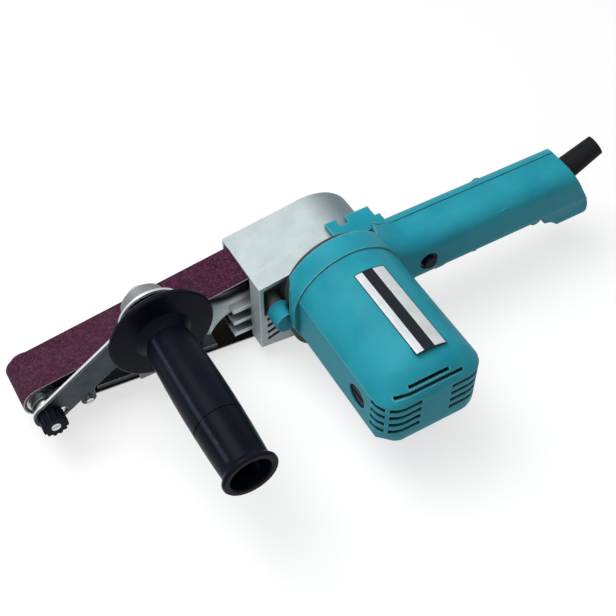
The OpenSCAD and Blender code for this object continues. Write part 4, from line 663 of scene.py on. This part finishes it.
# %% Bare plate on the crown
crown_radius, foil_lift = 38.0, 0.06
first_turn, last_turn = math.radians(-10.5), math.radians(21.5)
radius = crown_radius * MM + foil_lift * MM
foil = bmesh.new()
ends = [foil.verts.new(Vector((motor_axle.x + radius * math.sin(first_turn), nose.y - y * MM,
                               motor_axle.z + radius * math.cos(first_turn))))
        for y in (plate_start, plate_end)]
bmesh.ops.subdivide_edges(foil, edges=[foil.edges.new(ends)], cuts=12)
bmesh.ops.spin(foil, geom=foil.verts[:] + foil.edges[:], cent=motor_axle, axis=(0, 1, 0),
               angle=last_turn - first_turn, steps=20, use_merge=False, use_duplicate=False)
bmesh.ops.recalc_face_normals(foil, faces=foil.faces)
for face in foil.faces:
    face.smooth = True
plate = add_piece(foil, "rating_plate")
plate.data.materials.append(bare_plate)
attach(plate, "tool")
print("plate", [round(c / MM, 1) for c in plate.dimensions])

# %% [markdown]
# The stage: a wide pale floor under the tool. The camera sees it almost white, as in a
# catalogue picture, and it keeps the tool's soft shadow. Well away from the tool it turns
# fully white, like the paper sweep of a studio, so that no horizon shows in low views.


# %% Floor
def in_view(pen):
    """1 for what the camera sees, by itself or in a gloss or glass, and 0 for bounced light."""
    camera_ray, glossy_ray, through_ray = [pen.add("ShaderNodeLightPath", out=k) for k in (0, 3, 6)]
    return camera_ray.either(glossy_ray).either(through_ray)


def floor_finish():
    near_tool, far_off = 0.40, 1.10
    f = Finish("pale_floor")
    tone = f.noise(300.0).paint(rgb(0.46, 0.46, 0.46), rgb(0.49, 0.49, 0.49))
    matte = f.pen.add("ShaderNodeBsdfPrincipled", sockets={
        "Base Color": tone, "Roughness": 1.0, "Specular IOR Level": 0.0})
    glow = f.pen.add("ShaderNodeEmission", sockets={"Color": rgb(1, 1, 1), "Strength": 0.66})
    lit = f.pen.add("ShaderNodeAddShader", sockets={0: matte, 1: glow})
    distance = f.pen.sum("POWER", f.across[0] * f.across[0] + f.across[1] * f.across[1], 0.5)
    blank = f.pen.add("ShaderNodeEmission", sockets={"Color": rgb(1, 1, 1), "Strength": 1.0})
    sweep = f.pen.add("ShaderNodeMixShader", sockets={
        0: distance.ease(near_tool, far_off), 1: lit, 2: blank})
    both = f.pen.add("ShaderNodeMixShader", sockets={0: in_view(f.pen), 1: matte, 2: sweep})
    f.pen.add("ShaderNodeOutputMaterial", sockets={"Surface": both})
    return f.material


ground = bmesh.new()
bmesh.ops.create_grid(ground, x_segments=2, y_segments=2, size=6.0)
floor = add_piece(ground, "floor")
floor.data.materials.append(floor_finish())
print("floor", [round(c, 1) for c in floor.dimensions])

# %% [markdown]
# Behind the floor the world is white to the eye and to anything shiny, but gives only a weak,
# slightly cool light, so that the panels do the lighting.

# %% Background
world = bpy.data.worlds.new("studio")
world.use_nodes = True
bpy.context.scene.world = world
world.node_tree.nodes.clear()
sky = Sock(world.node_tree)
shade = sky.add("ShaderNodeBackground", sockets={"Color": rgb(0.95, 0.98, 1.0), "Strength": 0.16})
white = sky.add("ShaderNodeBackground", sockets={"Color": rgb(1, 1, 1), "Strength": 1.0})
sky.add("ShaderNodeOutputWorld", sockets={
    "Surface": sky.add("ShaderNodeMixShader", sockets={0: in_view(sky), 1: shade, 2: white})})
print("world", world.name)

# %% [markdown]
# Light. One large soft panel stands high behind the tool, on the side of the nose, so that the
# tops of the cover and the crown are the palest surfaces. A weak panel in front of the nose
# and one overhead keep the motor's flank and the black grip readable.


# %% Soft panels
def panel(name, offset, width, depth, power):
    lamp = bpy.data.lights.new(name, "AREA")
    lamp.shape, lamp.size, lamp.size_y, lamp.energy = "RECTANGLE", width, depth, power
    holder = bpy.data.objects.new(name, lamp)
    bpy.context.scene.collection.objects.link(holder)
    place = middle + Vector(offset)
    turn = (middle - place).to_track_quat("-Z", "Y").to_matrix().to_4x4()
    holder.matrix_world = Matrix.Translation(place) @ turn


middle = at(150, -60, 0)
panel("key_panel", (-0.45, 0.40, 1.40), width=1.0, depth=0.9, power=14.0)
panel("fill_panel", (-1.20, -0.70, 0.75), width=1.0, depth=0.8, power=2.2)
panel("top_panel", (-0.15, -0.40, 1.50), width=1.0, depth=1.0, power=4.5)

# %% [markdown]
# Camera. The place, turn and lens were worked out from points of the tool that are easy to
# recognise, such as the nose, the ends of both grips and the motor's corners.

# %% Camera
camera_place = at(-49.2, -422.0, 553.9)
look_down, look_aside = math.radians(50.96), math.radians(-30.06)
lens = bpy.data.cameras.new("camera")
lens.sensor_width, lens.lens = 36.0, 64.2
lens.clip_start, lens.clip_end = 0.01, 50.0
camera = bpy.data.objects.new("camera", lens)
bpy.context.scene.collection.objects.link(camera)
camera.location = camera_place
camera.rotation_euler = (math.radians(90.0) - look_down, 0.0, look_aside)
bpy.context.scene.camera = camera
bpy.context.scene.view_settings.view_transform = "Standard"
print("camera", [round(c, 3) for c in camera.location])

# %% [markdown]
# The last step brings the scene up to date.

# %% Update
bpy.context.view_layer.update()
